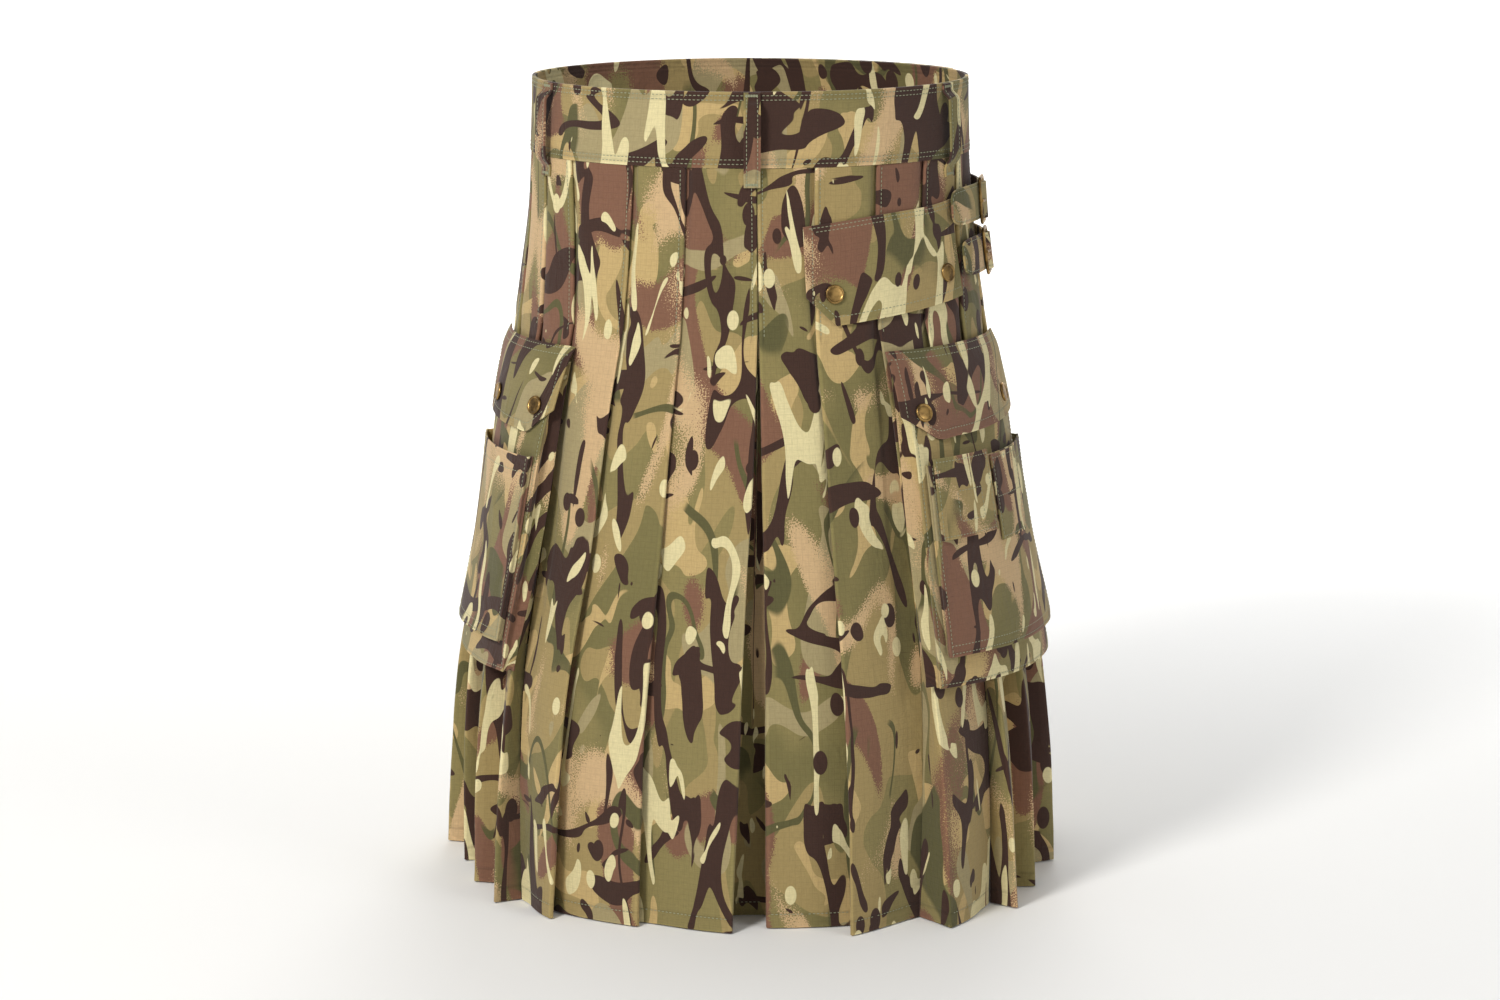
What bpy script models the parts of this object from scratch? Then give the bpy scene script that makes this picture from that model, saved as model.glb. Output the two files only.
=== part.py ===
# Utility kilt, worn by nobody: a pleated knee-length skirt with a waistband, two overlapping
# aprons, belt loops, two cargo pockets, a hip pocket flap and two buckled straps.
# Origin: centre of the waist, half-way up the waistband. The back of the kilt faces -Y,
# the wearer's right hip is at +X, +Z is up. Sizes in the tables are millimetres.
# An angle goes round the body from the centre back (0) over the right hip (90) to the front (180).
# A drop is the distance below the top edge of the waistband.

import math

import bmesh
import bpy
from mathutils import Vector

MM = 0.001

# Driving sizes
LENGTH = 605.0
BAND_HEIGHT = 55.0
BAND_THICKNESS = 3.0
BAND_PROUD = 0.8
CLOTH = 1.0
PLEAT_AIR = 0.6
LAYER_STEP = CLOTH + PLEAT_AIR
HEM_FOLD = 2.4
SEAM = 0.3
PIECE = 1.2
RELEASE_DROP = 172.0
OPENING_POWER = 0.75
LAP = BAND_THICKNESS + SEAM
LEFT_SEAM = -122.0
RIGHT_SEAM = 122.0
OUTER_EDGE = 112.0 - 360.0
INNER_EDGE = 180.0
# Where the outer end of the wrap starts to lie over the inner one, and the turn it takes to get there
LAP_START = -130.0
LAP_TURN = 45.0
APRON_FLARE = 3.0

# Sections of the outer surface, a row for each height:
# drop, half width, depth at the back, depth at the front, squareness (2 is an ellipse)
SECTIONS = (
    (0.0, 162.5, 117.0, 117.0, 2.00),
    (55.0, 164.5, 119.0, 118.0, 2.00),
    (110.0, 168.0, 125.0, 121.0, 2.05),
    (172.0, 176.5, 135.0, 127.0, 2.10),
    (240.0, 187.0, 148.0, 135.0, 2.20),
    (330.0, 199.0, 165.0, 145.0, 2.30),
    (430.0, 222.0, 182.0, 154.0, 2.35),
    (510.0, 231.0, 192.0, 161.0, 2.38),
    (605.0, 235.0, 202.0, 168.0, 2.40),
)

# Heights of the rings that the pleats and aprons run through
RING_DROPS = (55.3, 85.0, 120.0, 150.0, 175.0, 205.0, 245.0, 295.0, 355.0, 425.0, 510.0, 605.0)

# Pleats from the side seams to the centre back. Angles of the fold's tip at the waist and where the
# stitching ends, then plan positions at the hem: of the tip, of the inner fold behind it, and of the
# place where the next face leaves the inner fold. A row for each pleat:
# name, waist, release, tip_x, tip_y, inner_x, inner_y, bend_x, bend_y
LEFT_PLEATS = (
    ("left_8", -112.0, -111.0, -229.0, 76.0, -206.0, 66.0, -214.0, 56.0),
    ("left_7", -99.0, -97.0, -236.0, 30.0, -208.0, 20.0, -212.0, 8.0),
    ("left_6", -83.0, -77.0, -220.0, -22.0, -196.0, -22.0, -200.0, -36.0),
    ("left_5", -68.0, -61.0, -209.0, -77.0, -182.0, -86.0, -181.0, -98.0),
    ("left_4", -53.8, -47.0, -191.0, -129.0, -171.0, -122.0, -166.0, -131.0),
    ("left_3", -31.6, -30.9, -147.0, -168.0, -149.0, -143.0, -142.0, -154.0),
    ("left_2", -16.9, -15.9, -83.0, -186.0, -102.0, -168.0, -78.0, -177.0),
    ("left_1", 1.3, 1.3, -14.0, -203.0, -40.0, -174.0, -12.0, -161.0),
)
RIGHT_PLEATS = (
    ("right_7", 105.0, 103.0, 231.0, 46.0, 210.0, 26.0, 219.0, 12.0),
    ("right_6", 89.0, 82.0, 234.0, -21.0, 204.0, -38.0, 208.0, -52.0),
    ("right_5", 70.0, 63.0, 215.0, -89.0, 187.0, -92.0, 191.0, -107.0),
    ("right_4", 51.5, 46.5, 199.0, -143.0, 179.0, -131.0, 174.0, -143.0),
    ("right_3", 34.7, 31.3, 148.0, -190.0, 124.0, -164.0, 115.0, -172.0),
    ("right_2", 17.1, 15.0, 74.0, -208.0, 96.0, -182.0, 79.0, -185.0),
    ("right_1", 2.1, 2.1, 13.0, -190.0, 38.0, -168.0, 10.0, -160.0),
)

# Shares of a pleat's pitch: how far the fold runs back under its face, and where the next face rises
UNDERLAP_SHARE = 0.45
RISE_START_SHARE = 0.05
RISE_END_SHARE = 0.16
FACE_MIDDLE_SHARE = 0.58
FACE_BULGE = 0.012
# At the hem the next face starts at this share of the way to its bend, and leaves it by the other share
LOW_BEND_SHARE = 0.6
HIGH_BEND_SHARE = 0.05

# Belt loops, a row for each: name and angle
LOOP_WIDTH = 12.0
LOOP_THICKNESS = 1.5
LOOP_ROWS = (
    ("loop_back", 0.5),
    ("loop_left", -65.0),
    ("loop_right", 62.5),
    ("loop_front_left", -140.0),
    ("loop_front_right", 140.0),
)
# Profile of a loop: drop, and distance of its inner face from the cloth below it
LOOP_PROFILE = (
    (0.4, 0.3), (6.0, 0.3), (11.0, 5.2), (20.0, 5.7), (46.0, 5.6), (55.0, 4.4), (62.0, 0.4), (69.0, 0.4),
)

# Hip pocket flap, a row for each station: angle, drop of its top edge, drop of its bottom edge
HIP_FLAP_SEAT = 0.35
HIP_FLAP_LIFT = 1.2
HIP_FLAP = (
    (12.8, 97.4, 148.0),
    (16.3, 96.2, 158.5),
    (19.8, 95.2, 168.6),
    (30.4, 91.8, 165.3),
    (40.0, 89.8, 162.6),
    (51.0, 88.2, 159.5),
    (62.5, 85.4, 156.3),
)
# Snaps of the hip flap: name, angle, drop
HIP_SNAPS = (("hip_snap_back", 19.7, 146.0), ("hip_snap_front", 56.2, 138.0))

# Straps: name, drop of the centre line, angle of the free end
STRAPS = (("upper", 91.5, 59.5), ("lower", 129.5, 63.3))
STRAP_ROOT = 127.0
STRAP_WIDTH = 27.0
STRAP_THICKNESS = 1.5
# Clear heights over the hip flap and over the apron
STRAP_LIFT = 4.0
STRAP_SEAT = 0.2
# Shares of the width at the free end and a little behind it
STRAP_TIP_WIDTHS = (0.62, 0.92)
BUCKLE_ANGLE = 83.5
BUCKLE_LENGTH = 24.0
BUCKLE_HEIGHT = 36.0
BUCKLE_BAR = 3.2
BUCKLE_THICKNESS = 2.4
# Degrees from the buckle's middle where the strap starts and ends its climb over the middle bar
BAR_RISE_START = 3.6
BAR_RISE_END = 1.0

# Cargo pockets: angle of the back edge at the top and at the bottom, angle of the front edge at the
# top and at the bottom, how far the bottom corners stand out of the section (back one, front one),
# and the clear height over the pleats at the top. Fullness is the bag's depth at the back and front edge
POCKETS = {
    "right": (34.3, 32.0, 83.0, 86.0, 11.5, 1.5, 1.5),
    "left": (-46.5, -51.0, -90.0, -88.0, -2.2, -6.0, 0.2),
}
FULLNESS = {"right": (1.0, 0.3), "left": (0.9, 0.3)}
POCKET_TOP = 190.0
POCKET_BOTTOM = 428.0
BAG_TOP = 200.0
# Depth of the bag, a row for each height: drop, depth
BAG_DEPTH = ((200.0, 4.0), (225.0, 10.0), (260.0, 15.0), (320.0, 16.0), (380.0, 13.0), (428.0, 8.0))
GUSSET_FOLD = 4.0
FOLD_FADE = 90.0
POCKET_WIDTH = 140.0
CORNER_STEP = 5.0
BAG_DROPS = (200.0, 215.0, 235.0, 260.0, 300.0, 345.0, 385.0, 405.0, 428.0)
PATCH_DROPS = (268.0, 300.0, 345.0, 385.0, 405.0)
PATCH_SHARES = (0.04, 0.96)
# Columns that the front panels of a bag and of the patch on it have in common
PANEL_SHARES = (0.2, 0.4, 0.6, 0.8)
PATCH_DEPTH = 4.5
PATCH_FOLD = 1.0
# The bag's side gussets are sewn down this far outside its front panel
BAG_FLARE = 5.0
PATCH_SEAT = 0.2
FLAP_SEAT = 1.3
DETAIL_SEAT = 0.8
# Pieces on the right patch: name, share of the pocket's width at the start and the end, top and bottom drop
PATCH_DETAILS = (
    ("right_small_flap", 0.055, 0.40, 263.0, 321.0),
    ("right_pen_slot", 0.425, 0.68, 268.0, 330.0),
)
# Lower edge of the flap: share of the pocket's width, drop
FLAP_EDGE = (
    (-0.055, 233.0), (0.04, 242.0), (0.13, 251.0), (0.4, 250.5), (0.65, 249.0), (0.9, 247.0), (1.01, 246.0),
)
SNAP_DROP = 232.0
FLAP_SNAPS = {"right": (("back", 0.065), ("front", 0.79)), "left": (("back", 0.1), ("front", 0.62))}

# Snaps
SNAP_RADIUS = 7.0
SNAP_HEIGHT = 2.4
SNAP_SEAT = 0.6

# Colours, roughness and metallic value
MATERIALS = {
    "camo_cloth": ((0.33, 0.28, 0.17, 1.0), 0.85, 0.0),
    "antique_brass": ((0.36, 0.25, 0.12, 1.0), 0.38, 1.0),
}


def clear_scene():
    for thing in list(bpy.data.objects):
        bpy.data.objects.remove(thing, do_unlink=True)


def material(name):
    found = bpy.data.materials.get(name)
    if found:
        return found
    colour, roughness, metallic = MATERIALS[name]
    made = bpy.data.materials.new(name)
    made.use_nodes = True
    shader = made.node_tree.nodes["Principled BSDF"]
    shader.inputs["Base Color"].default_value = colour
    shader.inputs["Roughness"].default_value = roughness
    shader.inputs["Metallic"].default_value = metallic
    made.diffuse_color = colour
    return made


def mix(start, end, share):
    return start + (end - start) * share


def table_value(rows, column, at):
    # Smooth curve through the rows of a table, whose first column is the place
    last = len(rows) - 1
    if at <= rows[0][0]:
        return rows[0][column]
    if at >= rows[last][0]:
        return rows[last][column]
    i = max(k for k in range(last) if rows[k][0] <= at)

    def slope(k):
        low = max(k - 1, 0)
        high = min(k + 1, last)
        return (rows[high][column] - rows[low][column]) / (rows[high][0] - rows[low][0])

    span = rows[i + 1][0] - rows[i][0]
    t = (at - rows[i][0]) / span
    start = rows[i][column]
    end = rows[i + 1][column]
    return (
        (2 * t**3 - 3 * t**2 + 1) * start
        + (t**3 - 2 * t**2 + t) * span * slope(i)
        + (3 * t**2 - 2 * t**3) * end
        + (t**3 - t**2) * span * slope(i + 1)
    )


def straight_value(rows, column, at):
    # Straight lines between the rows of a table
    for low, high in zip(rows, rows[1:]):
        if at <= high[0]:
            return mix(low[column], high[column], (at - low[0]) / (high[0] - low[0]))
    return rows[-1][column]


def signed_power(value, power):
    return math.copysign(abs(value) ** power, value)


def section_point(drop, angle):
    width = table_value(SECTIONS, 1, drop)
    front = math.cos(math.radians(angle)) < 0.0
    depth = table_value(SECTIONS, 3 if front else 2, drop)
    power = 2.0 / table_value(SECTIONS, 4, drop)
    x = width * signed_power(math.sin(math.radians(angle)), power)
    y = -depth * signed_power(math.cos(math.radians(angle)), power)
    return x, y


def ring_point(drop, angle, out=0.0):
    # Point of the outer surface, moved out square to it
    x, y = section_point(drop, angle)
    x0, y0 = section_point(drop, angle - 1.0)
    x1, y1 = section_point(drop, angle + 1.0)
    along = math.hypot(x1 - x0, y1 - y0)
    return x + out * (y1 - y0) / along, y - out * (x1 - x0) / along


def height(drop):
    return (BAND_HEIGHT / 2.0 - drop) * MM


def space_point(drop, angle, out=0.0):
    x, y = ring_point(drop, angle, out)
    return Vector((x * MM, y * MM, height(drop)))


def degrees_for(drop, angle, length):
    # Angle that a length along the section takes up
    x0, y0 = section_point(drop, angle - 0.5)
    x1, y1 = section_point(drop, angle + 0.5)
    return length / math.hypot(x1 - x0, y1 - y0)


def make_object(name, mesh_data, material_name):
    mesh = bpy.data.meshes.new(name)
    mesh_data.to_mesh(mesh)
    mesh_data.free()
    mesh.materials.append(material(material_name))
    thing = bpy.data.objects.new(name, mesh)
    bpy.context.scene.collection.objects.link(thing)
    return thing


def mitre_direction(grid, row, column):
    # Direction that keeps the wall's thickness at a fold
    normals = []
    for r in (row - 1, row):
        for c in (column - 1, column):
            if 0 <= r < len(grid) - 1 and 0 <= c < len(grid[0]) - 1:
                across = grid[r][c + 1] - grid[r][c] + grid[r + 1][c + 1] - grid[r + 1][c]
                down = grid[r + 1][c] - grid[r][c] + grid[r + 1][c + 1] - grid[r][c + 1]
                normal = down.cross(across)
                if normal.length > 1e-12:
                    normals.append(normal.normalized())
    total = sum(normals, Vector((0.0, 0.0, 0.0))).normalized()
    share = sum(total.dot(normal) for normal in normals) / len(normals)
    return total / max(share, 0.42)


def cloth_wall(name, grid, thickness, material_name="camo_cloth"):
    # Closed wall round a grid of points: rows from the top down, columns with growing angle
    rows = len(grid)
    columns = len(grid[0])
    bm = bmesh.new()
    outside = []
    inside = []
    for r in range(rows):
        outside.append([])
        inside.append([])
        for c in range(columns):
            half = mitre_direction(grid, r, c) * (thickness * MM / 2.0)
            outside[r].append(bm.verts.new(grid[r][c] + half))
            inside[r].append(bm.verts.new(grid[r][c] - half))
    for r in range(rows - 1):
        for c in range(columns - 1):
            # Both faces of the wall are split along the same, shorter diagonal
            corners = ((r, c), (r + 1, c), (r + 1, c + 1), (r, c + 1))
            if (grid[r][c] - grid[r + 1][c + 1]).length > (grid[r + 1][c] - grid[r][c + 1]).length:
                corners = corners[1:] + corners[:1]
            for triangle in (corners[:3], (corners[2], corners[3], corners[0])):
                bm.faces.new([outside[i][j] for i, j in triangle])
                bm.faces.new([inside[i][j] for i, j in reversed(triangle)])
    for c in range(columns - 1):
        bm.faces.new((outside[0][c], outside[0][c + 1], inside[0][c + 1], inside[0][c]))
        bm.faces.new((outside[-1][c + 1], outside[-1][c], inside[-1][c], inside[-1][c + 1]))
    for r in range(rows - 1):
        bm.faces.new((outside[r + 1][0], outside[r][0], inside[r][0], inside[r + 1][0]))
        bm.faces.new((outside[r][-1], outside[r + 1][-1], inside[r + 1][-1], inside[r][-1]))
    return make_object(name, bm, material_name)


# Pleats

def hem_place(x, y):
    # Angle and scale of a plan position at the hem, against the section there
    width = SECTIONS[-1][1]
    depth = SECTIONS[-1][3] if y > 0.0 else SECTIONS[-1][2]
    square = SECTIONS[-1][4]
    scale = (abs(x / width) ** square + abs(y / depth) ** square) ** (1.0 / square)
    sine = signed_power(x / (scale * width), square / 2.0)
    cosine = signed_power(-y / (scale * depth), square / 2.0)
    return math.degrees(math.atan2(sine, cosine)), scale


def opening(drop):
    if drop <= RELEASE_DROP:
        return 0.0
    return ((drop - RELEASE_DROP) / (LENGTH - RELEASE_DROP)) ** OPENING_POWER


def pleat_column(waist, release, layer, hem_x, hem_y):
    hem_angle, hem_scale = hem_place(hem_x, hem_y)
    return {
        "waist": waist,
        "release": release,
        "layer": layer,
        "hem_angle": hem_angle,
        "hem_scale": hem_scale,
    }


def fold_column(tip, inner, at_inner, side):
    # One of the two edges of a fold, which lie side by side at its tip and at its inner end
    return {"tip": tip, "inner": inner, "at_inner": at_inner, "side": side, "turn": 1.0}


def mirrored(column):
    turned = dict(column)
    if "tip" in column:
        turned["tip"] = mirrored(column["tip"])
        turned["inner"] = mirrored(column["inner"])
        turned["turn"] = -column["turn"]
        return turned
    for key in ("waist", "release", "hem_angle"):
        turned[key] = -column[key]
    return turned


def column_point(column, drop):
    opened = opening(drop)
    if "tip" in column:
        tip = column_point(column["tip"], drop)
        inner = column_point(column["inner"], drop)
        back = (inner - tip).normalized()
        aside = Vector((back.y, -back.x, 0.0)) * column["turn"] * column["side"]
        return (inner if column["at_inner"] else tip) + aside * mix(LAYER_STEP, HEM_FOLD, opened) * MM / 2.0
    stitched = min(max((drop - BAND_HEIGHT) / (RELEASE_DROP - BAND_HEIGHT), 0.0), 1.0)
    angle = mix(column["waist"], column["release"], stitched)
    angle = mix(angle, column["hem_angle"], opened)
    depth = CLOTH / 2.0 + column["layer"] * LAYER_STEP
    x, y = ring_point(drop, angle, -depth * (1.0 - opened))
    scale = mix(1.0, column["hem_scale"], opened)
    return Vector((x * scale * MM, y * scale * MM, height(drop)))


def pleat_run(rows, seam_angle, seam_x, seam_y):
    # Columns of the left half from the side seam to the centre back, split at each inner fold
    runs = []
    current = [pleat_column(seam_angle, seam_angle, 0, seam_x, seam_y)]
    previous = (seam_angle, seam_angle, seam_x, seam_y)
    for k, (_, waist, release, tip_x, tip_y, inner_x, inner_y, bend_x, bend_y) in enumerate(rows):
        tip = Vector((tip_x, tip_y))
        inner = Vector((inner_x, inner_y))
        start = Vector(previous[2:])
        # Middle of the face, a little out of the straight line
        middle = start.lerp(tip, FACE_MIDDLE_SHARE) * (1.0 + FACE_BULGE)
        current.append(pleat_column(
            mix(previous[0], waist, FACE_MIDDLE_SHARE), mix(previous[1], release, FACE_MIDDLE_SHARE),
            0, middle.x, middle.y))
        # The fold's tip and the inner fold behind it
        tip_column = pleat_column(waist, release, 0.5, tip.x, tip.y)
        inner_column = pleat_column(
            mix(waist, previous[0], UNDERLAP_SHARE), mix(release, previous[1], UNDERLAP_SHARE),
            1.5, inner.x, inner.y)
        current.append(fold_column(tip_column, inner_column, False, -1.0))
        current.append(fold_column(tip_column, inner_column, False, 1.0))
        current.append(fold_column(tip_column, inner_column, True, -1.0))
        runs.append(current)
        current = [fold_column(tip_column, inner_column, True, 1.0)]
        if k + 1 < len(rows):
            # The next face rises from under the tip
            next_waist, next_release = rows[k + 1][1:3]
            next_tip = Vector(rows[k + 1][3:5])
            bend = Vector((bend_x, bend_y))
            low = inner.lerp(bend, LOW_BEND_SHARE)
            current.append(pleat_column(
                mix(waist, next_waist, RISE_START_SHARE), mix(release, next_release, RISE_START_SHARE),
                2, low.x, low.y))
            high = bend.lerp(next_tip, HIGH_BEND_SHARE)
            current.append(pleat_column(
                mix(waist, next_waist, RISE_END_SHARE), mix(release, next_release, RISE_END_SHARE),
                0, high.x, high.y))
            previous = (waist, release, bend_x, bend_y)
        else:
            current.append(pleat_column(waist, release, 2, bend_x, bend_y))
    runs.append(current)
    return runs


def join_runs(runs):
    return [column for run in runs for column in run]


def pleat_wall(name, columns):
    grid = [[column_point(column, drop) for column in columns] for drop in RING_DROPS]
    return cloth_wall(name, grid, CLOTH)


def make_pleats():
    left_x, left_y = ring_point(LENGTH, LEFT_SEAM)
    left = pleat_run(LEFT_PLEATS, LEFT_SEAM, left_x, left_y)
    right_rows = []
    for name, waist, release, tip_x, tip_y, inner_x, inner_y, bend_x, bend_y in RIGHT_PLEATS:
        right_rows.append((name, -waist, -release, -tip_x, tip_y, -inner_x, inner_y, -bend_x, bend_y))
    right = pleat_run(right_rows, -RIGHT_SEAM, left_x, left_y)
    right = [[mirrored(column) for column in reversed(run)] for run in reversed(right)]
    left_side = len(LEFT_PLEATS) - 3
    right_side = len(RIGHT_PLEATS) - 3
    pleat_wall("pleats_left", join_runs(left[:left_side]))
    pleat_wall("pleats_back", join_runs(left[left_side:]) + join_runs(right[:-right_side]))
    pleat_wall("pleats_right", join_runs(right[-right_side:]))


# Waistband and aprons

def lap_out(angle):
    # The outer end of the wrap lies outside the inner one, in front and on the right hip
    share = min(max((LAP_START - angle) / LAP_TURN, 0.0), 1.0)
    return LAP * share * share * (3.0 - 2.0 * share)


def spread(start, end, step):
    count = max(2, math.ceil(abs(end - start) / step))
    return [mix(start, end, i / count) for i in range(count + 1)]


def make_waistband():
    grid = []
    for drop in (0.0, BAND_HEIGHT * 0.5, BAND_HEIGHT):
        row = []
        for angle in spread(OUTER_EDGE, INNER_EDGE, 7.0):
            out = BAND_PROUD - BAND_THICKNESS / 2.0 + lap_out(angle)
            row.append(space_point(drop, angle, out))
        grid.append(row)
    cloth_wall("waistband", grid, BAND_THICKNESS)


def make_aprons():
    seam = degrees_for(LENGTH / 2.0, LEFT_SEAM, SEAM)
    outer = []
    under = []
    for drop in RING_DROPS:
        flare = APRON_FLARE * max(drop - RELEASE_DROP, 0.0) / (LENGTH - RELEASE_DROP)
        outer.append([])
        for angle in spread(OUTER_EDGE, LEFT_SEAM - seam, 9.0):
            past_front = max(0.0, (angle + 180.0) / (OUTER_EDGE + 180.0))
            out = lap_out(angle) * (1.0 + flare * past_front) - CLOTH / 2.0
            outer[-1].append(space_point(drop, angle, out))
        under.append([])
        for angle in spread(RIGHT_SEAM + seam, INNER_EDGE, 10.0):
            under[-1].append(space_point(drop, angle, -CLOTH / 2.0))
    cloth_wall("outer_apron", outer, CLOTH)
    cloth_wall("under_apron", under, CLOTH)


# Belt loops

def make_loop(name, angle):
    grid = []
    lap = lap_out(angle - 360.0) if angle > 100.0 else lap_out(angle)
    for drop, clear in LOOP_PROFILE:
        below = BAND_PROUD if drop < BAND_HEIGHT + 2.0 else 0.0
        half = degrees_for(drop, angle, LOOP_WIDTH / 2.0)
        out = lap + below + clear + LOOP_THICKNESS / 2.0
        grid.append([space_point(drop, angle + side * half, out) for side in (-1.0, 0.0, 1.0)])
    cloth_wall(name, grid, LOOP_THICKNESS)


# Hip pocket flap and straps

def hip_flap_out(drop):
    lift = HIP_FLAP_LIFT * max(0.0, (drop - 120.0) / 50.0)
    return SEAM + PIECE / 2.0 + HIP_FLAP_SEAT + lift


def hip_flap_surface(drop, angle):
    return space_point(drop, angle, hip_flap_out(drop))


def make_hip_flap():
    angles = [HIP_FLAP[0][0], HIP_FLAP[1][0]] + spread(HIP_FLAP[2][0], HIP_FLAP[-1][0], 4.0)
    grid = []
    for share in (0.0, 0.34, 0.67, 1.0):
        row = []
        for angle in angles:
            drop = mix(straight_value(HIP_FLAP, 1, angle), straight_value(HIP_FLAP, 2, angle), share)
            row.append(space_point(drop, angle, hip_flap_out(drop)))
        grid.append(row)
    cloth_wall("hip_flap", grid, PIECE)


def strap_out(angle):
    # Distance of the strap's middle from the section, from its free end to its root on the apron
    base = STRAP_THICKNESS / 2.0 + SEAM
    on_flap = base + PIECE + STRAP_LIFT
    over_bar = on_flap + STRAP_THICKNESS + BUCKLE_THICKNESS + 2.0 * SEAM + STRAP_SEAT
    on_apron = base + LAP + STRAP_SEAT
    rows = (
        (0.0, on_flap),
        (BUCKLE_ANGLE - BAR_RISE_START, on_flap),
        (BUCKLE_ANGLE - BAR_RISE_END, over_bar),
        (BUCKLE_ANGLE + BAR_RISE_END, over_bar),
        (BUCKLE_ANGLE + BAR_RISE_START, on_flap),
        (OUTER_EDGE + 360.0 - 4.0, on_apron),
        (STRAP_ROOT, on_apron),
    )
    return straight_value(rows, 1, angle)


def make_strap(name, drop, tip_angle):
    angles = [tip_angle, tip_angle + 2.5, tip_angle + 6.0]
    climb = (BAR_RISE_END, BAR_RISE_START, BAR_RISE_START + 2.0)
    angles += [BUCKLE_ANGLE - turn for turn in reversed(climb)]
    angles += [BUCKLE_ANGLE] + [BUCKLE_ANGLE + turn for turn in climb]
    angles += spread(BUCKLE_ANGLE + 10.0, STRAP_ROOT, 6.0)
    widths = list(STRAP_TIP_WIDTHS) + [1.0] * (len(angles) - 2)
    grid = []
    for side in (-1.0, 0.0, 1.0):
        row = []
        for angle, width in zip(angles, widths):
            place = drop + side * width * STRAP_WIDTH / 2.0
            row.append(space_point(place, angle, strap_out(angle)))
        grid.append(row)
    cloth_wall("strap_" + name, grid, STRAP_THICKNESS)


def facing(surface, drop, angle):
    # Place on a surface with the directions along it, down it and out of it
    place = surface(drop, angle)
    along = (surface(drop, angle + 1.5) - surface(drop, angle - 1.5)).normalized()
    down = (surface(drop + 6.0, angle) - surface(drop - 6.0, angle)).normalized()
    outward = down.cross(along).normalized()
    down = along.cross(outward).normalized()
    return place, along, down, outward


def make_buckle(name, drop):
    # Frame with a middle bar, flat bars with rounded corners
    out = strap_out(BUCKLE_ANGLE - BAR_RISE_START) + (STRAP_THICKNESS + BUCKLE_THICKNESS) / 2.0 + SEAM

    def surface(at, angle):
        return space_point(at, angle, out)

    place, along, down, outward = facing(surface, drop, BUCKLE_ANGLE)
    half = BUCKLE_LENGTH / 2.0
    tall = BUCKLE_HEIGHT / 2.0
    across = (-half, -half + BUCKLE_BAR, -BUCKLE_BAR / 2.0, BUCKLE_BAR / 2.0, half - BUCKLE_BAR, half)
    upright = (-tall, -tall + BUCKLE_BAR, tall - BUCKLE_BAR, tall)
    bm = bmesh.new()
    layers = []
    for side in (0.5, -0.5):
        layer = {}
        for i, u in enumerate(across):
            for j, v in enumerate(upright):
                spot = place + (along * u + down * v + outward * side * BUCKLE_THICKNESS) * MM
                layer[i, j] = bm.verts.new(spot)
        layers.append(layer)
    top, bottom = layers
    filled = {(i, j) for i in range(5) for j in range(3) if not (j == 1 and i in (1, 3))}
    for i, j in filled:
        ring = ((i, j), (i, j + 1), (i + 1, j + 1), (i + 1, j))
        bm.faces.new([top[corner] for corner in ring])
        bm.faces.new([bottom[corner] for corner in reversed(ring)])
        neighbours = ((i - 1, j), (i, j + 1), (i + 1, j), (i, j - 1))
        for k, neighbour in enumerate(neighbours):
            if neighbour not in filled:
                a = ring[k]
                b = ring[(k + 1) % 4]
                bm.faces.new((top[b], top[a], bottom[a], bottom[b]))
    thing = make_object(name, bm, "antique_brass")
    bevel = thing.modifiers.new("rounded", "BEVEL")
    bevel.width = 0.6 * MM
    bevel.segments = 1
    bevel.limit_method = "ANGLE"
    return thing


def make_snap(name, surface, drop, angle):
    # Domed cap on the cloth, turned from a short profile
    place, along, down, outward = facing(surface, drop, angle)
    place = place + outward * (PIECE / 2.0 + SNAP_SEAT) * MM
    profile = ((0.0, 1.0), (0.55, 0.96), (0.8, 0.8), (0.9, 0.62), (1.0, 0.45), (1.0, 0.0))
    sides = 20
    bm = bmesh.new()
    centre = bm.verts.new(place + outward * SNAP_HEIGHT * MM)
    under = bm.verts.new(place)
    rings = []
    for reach, rise in profile[1:]:
        ring = []
        for i in range(sides):
            turn = math.tau * i / sides
            spoke = (along * math.cos(turn) - down * math.sin(turn)) * SNAP_RADIUS * reach
            ring.append(bm.verts.new(place + (spoke + outward * SNAP_HEIGHT * rise) * MM))
        rings.append(ring)
    for i in range(sides):
        j = (i + 1) % sides
        bm.faces.new((centre, rings[0][i], rings[0][j]))
        bm.faces.new((under, rings[-1][j], rings[-1][i]))
        for inner, outer in zip(rings, rings[1:]):
            bm.faces.new((inner[i], outer[i], outer[j], inner[j]))
    thing = make_object(name, bm, "antique_brass")
    thing.data.shade_smooth()
    thing.data.set_sharp_from_angle(angle=math.radians(40.0))
    return thing


# Cargo pockets

def pocket_place(side, drop, share):
    # Angle and distance from the section of the pocket's back, at a share of its width
    back_top, back_bottom, front_top, front_bottom, out_back, out_front, seat = POCKETS[side]
    fall = (drop - POCKET_TOP) / (POCKET_BOTTOM - POCKET_TOP)
    angle = mix(mix(back_top, back_bottom, fall), mix(front_top, front_bottom, fall), share)
    stand_off = mix(out_back, out_front, share) * max(fall, 0.0)
    return angle, stand_off + seat


def bag_depth(drop):
    return table_value(BAG_DEPTH, 1, drop)


def pocket_point(side, drop, share, out):
    angle, base = pocket_place(side, drop, share)
    return space_point(drop, angle, base + out)


def fullness(side, share):
    back, front = FULLNESS[side]
    return mix(back, front, share)


def bag_front(side, drop, share):
    # Middle of the bag's front panel, and the seam of its gussets at depth 0
    return SEAM + bag_depth(drop) * fullness(side, share)


def patch_base(side, drop, share):
    return bag_front(side, drop, share) + PIECE / 2.0 + SEAM + PATCH_SEAT


def patch_front(side, drop, share):
    return patch_base(side, drop, share) + PATCH_DEPTH


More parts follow.
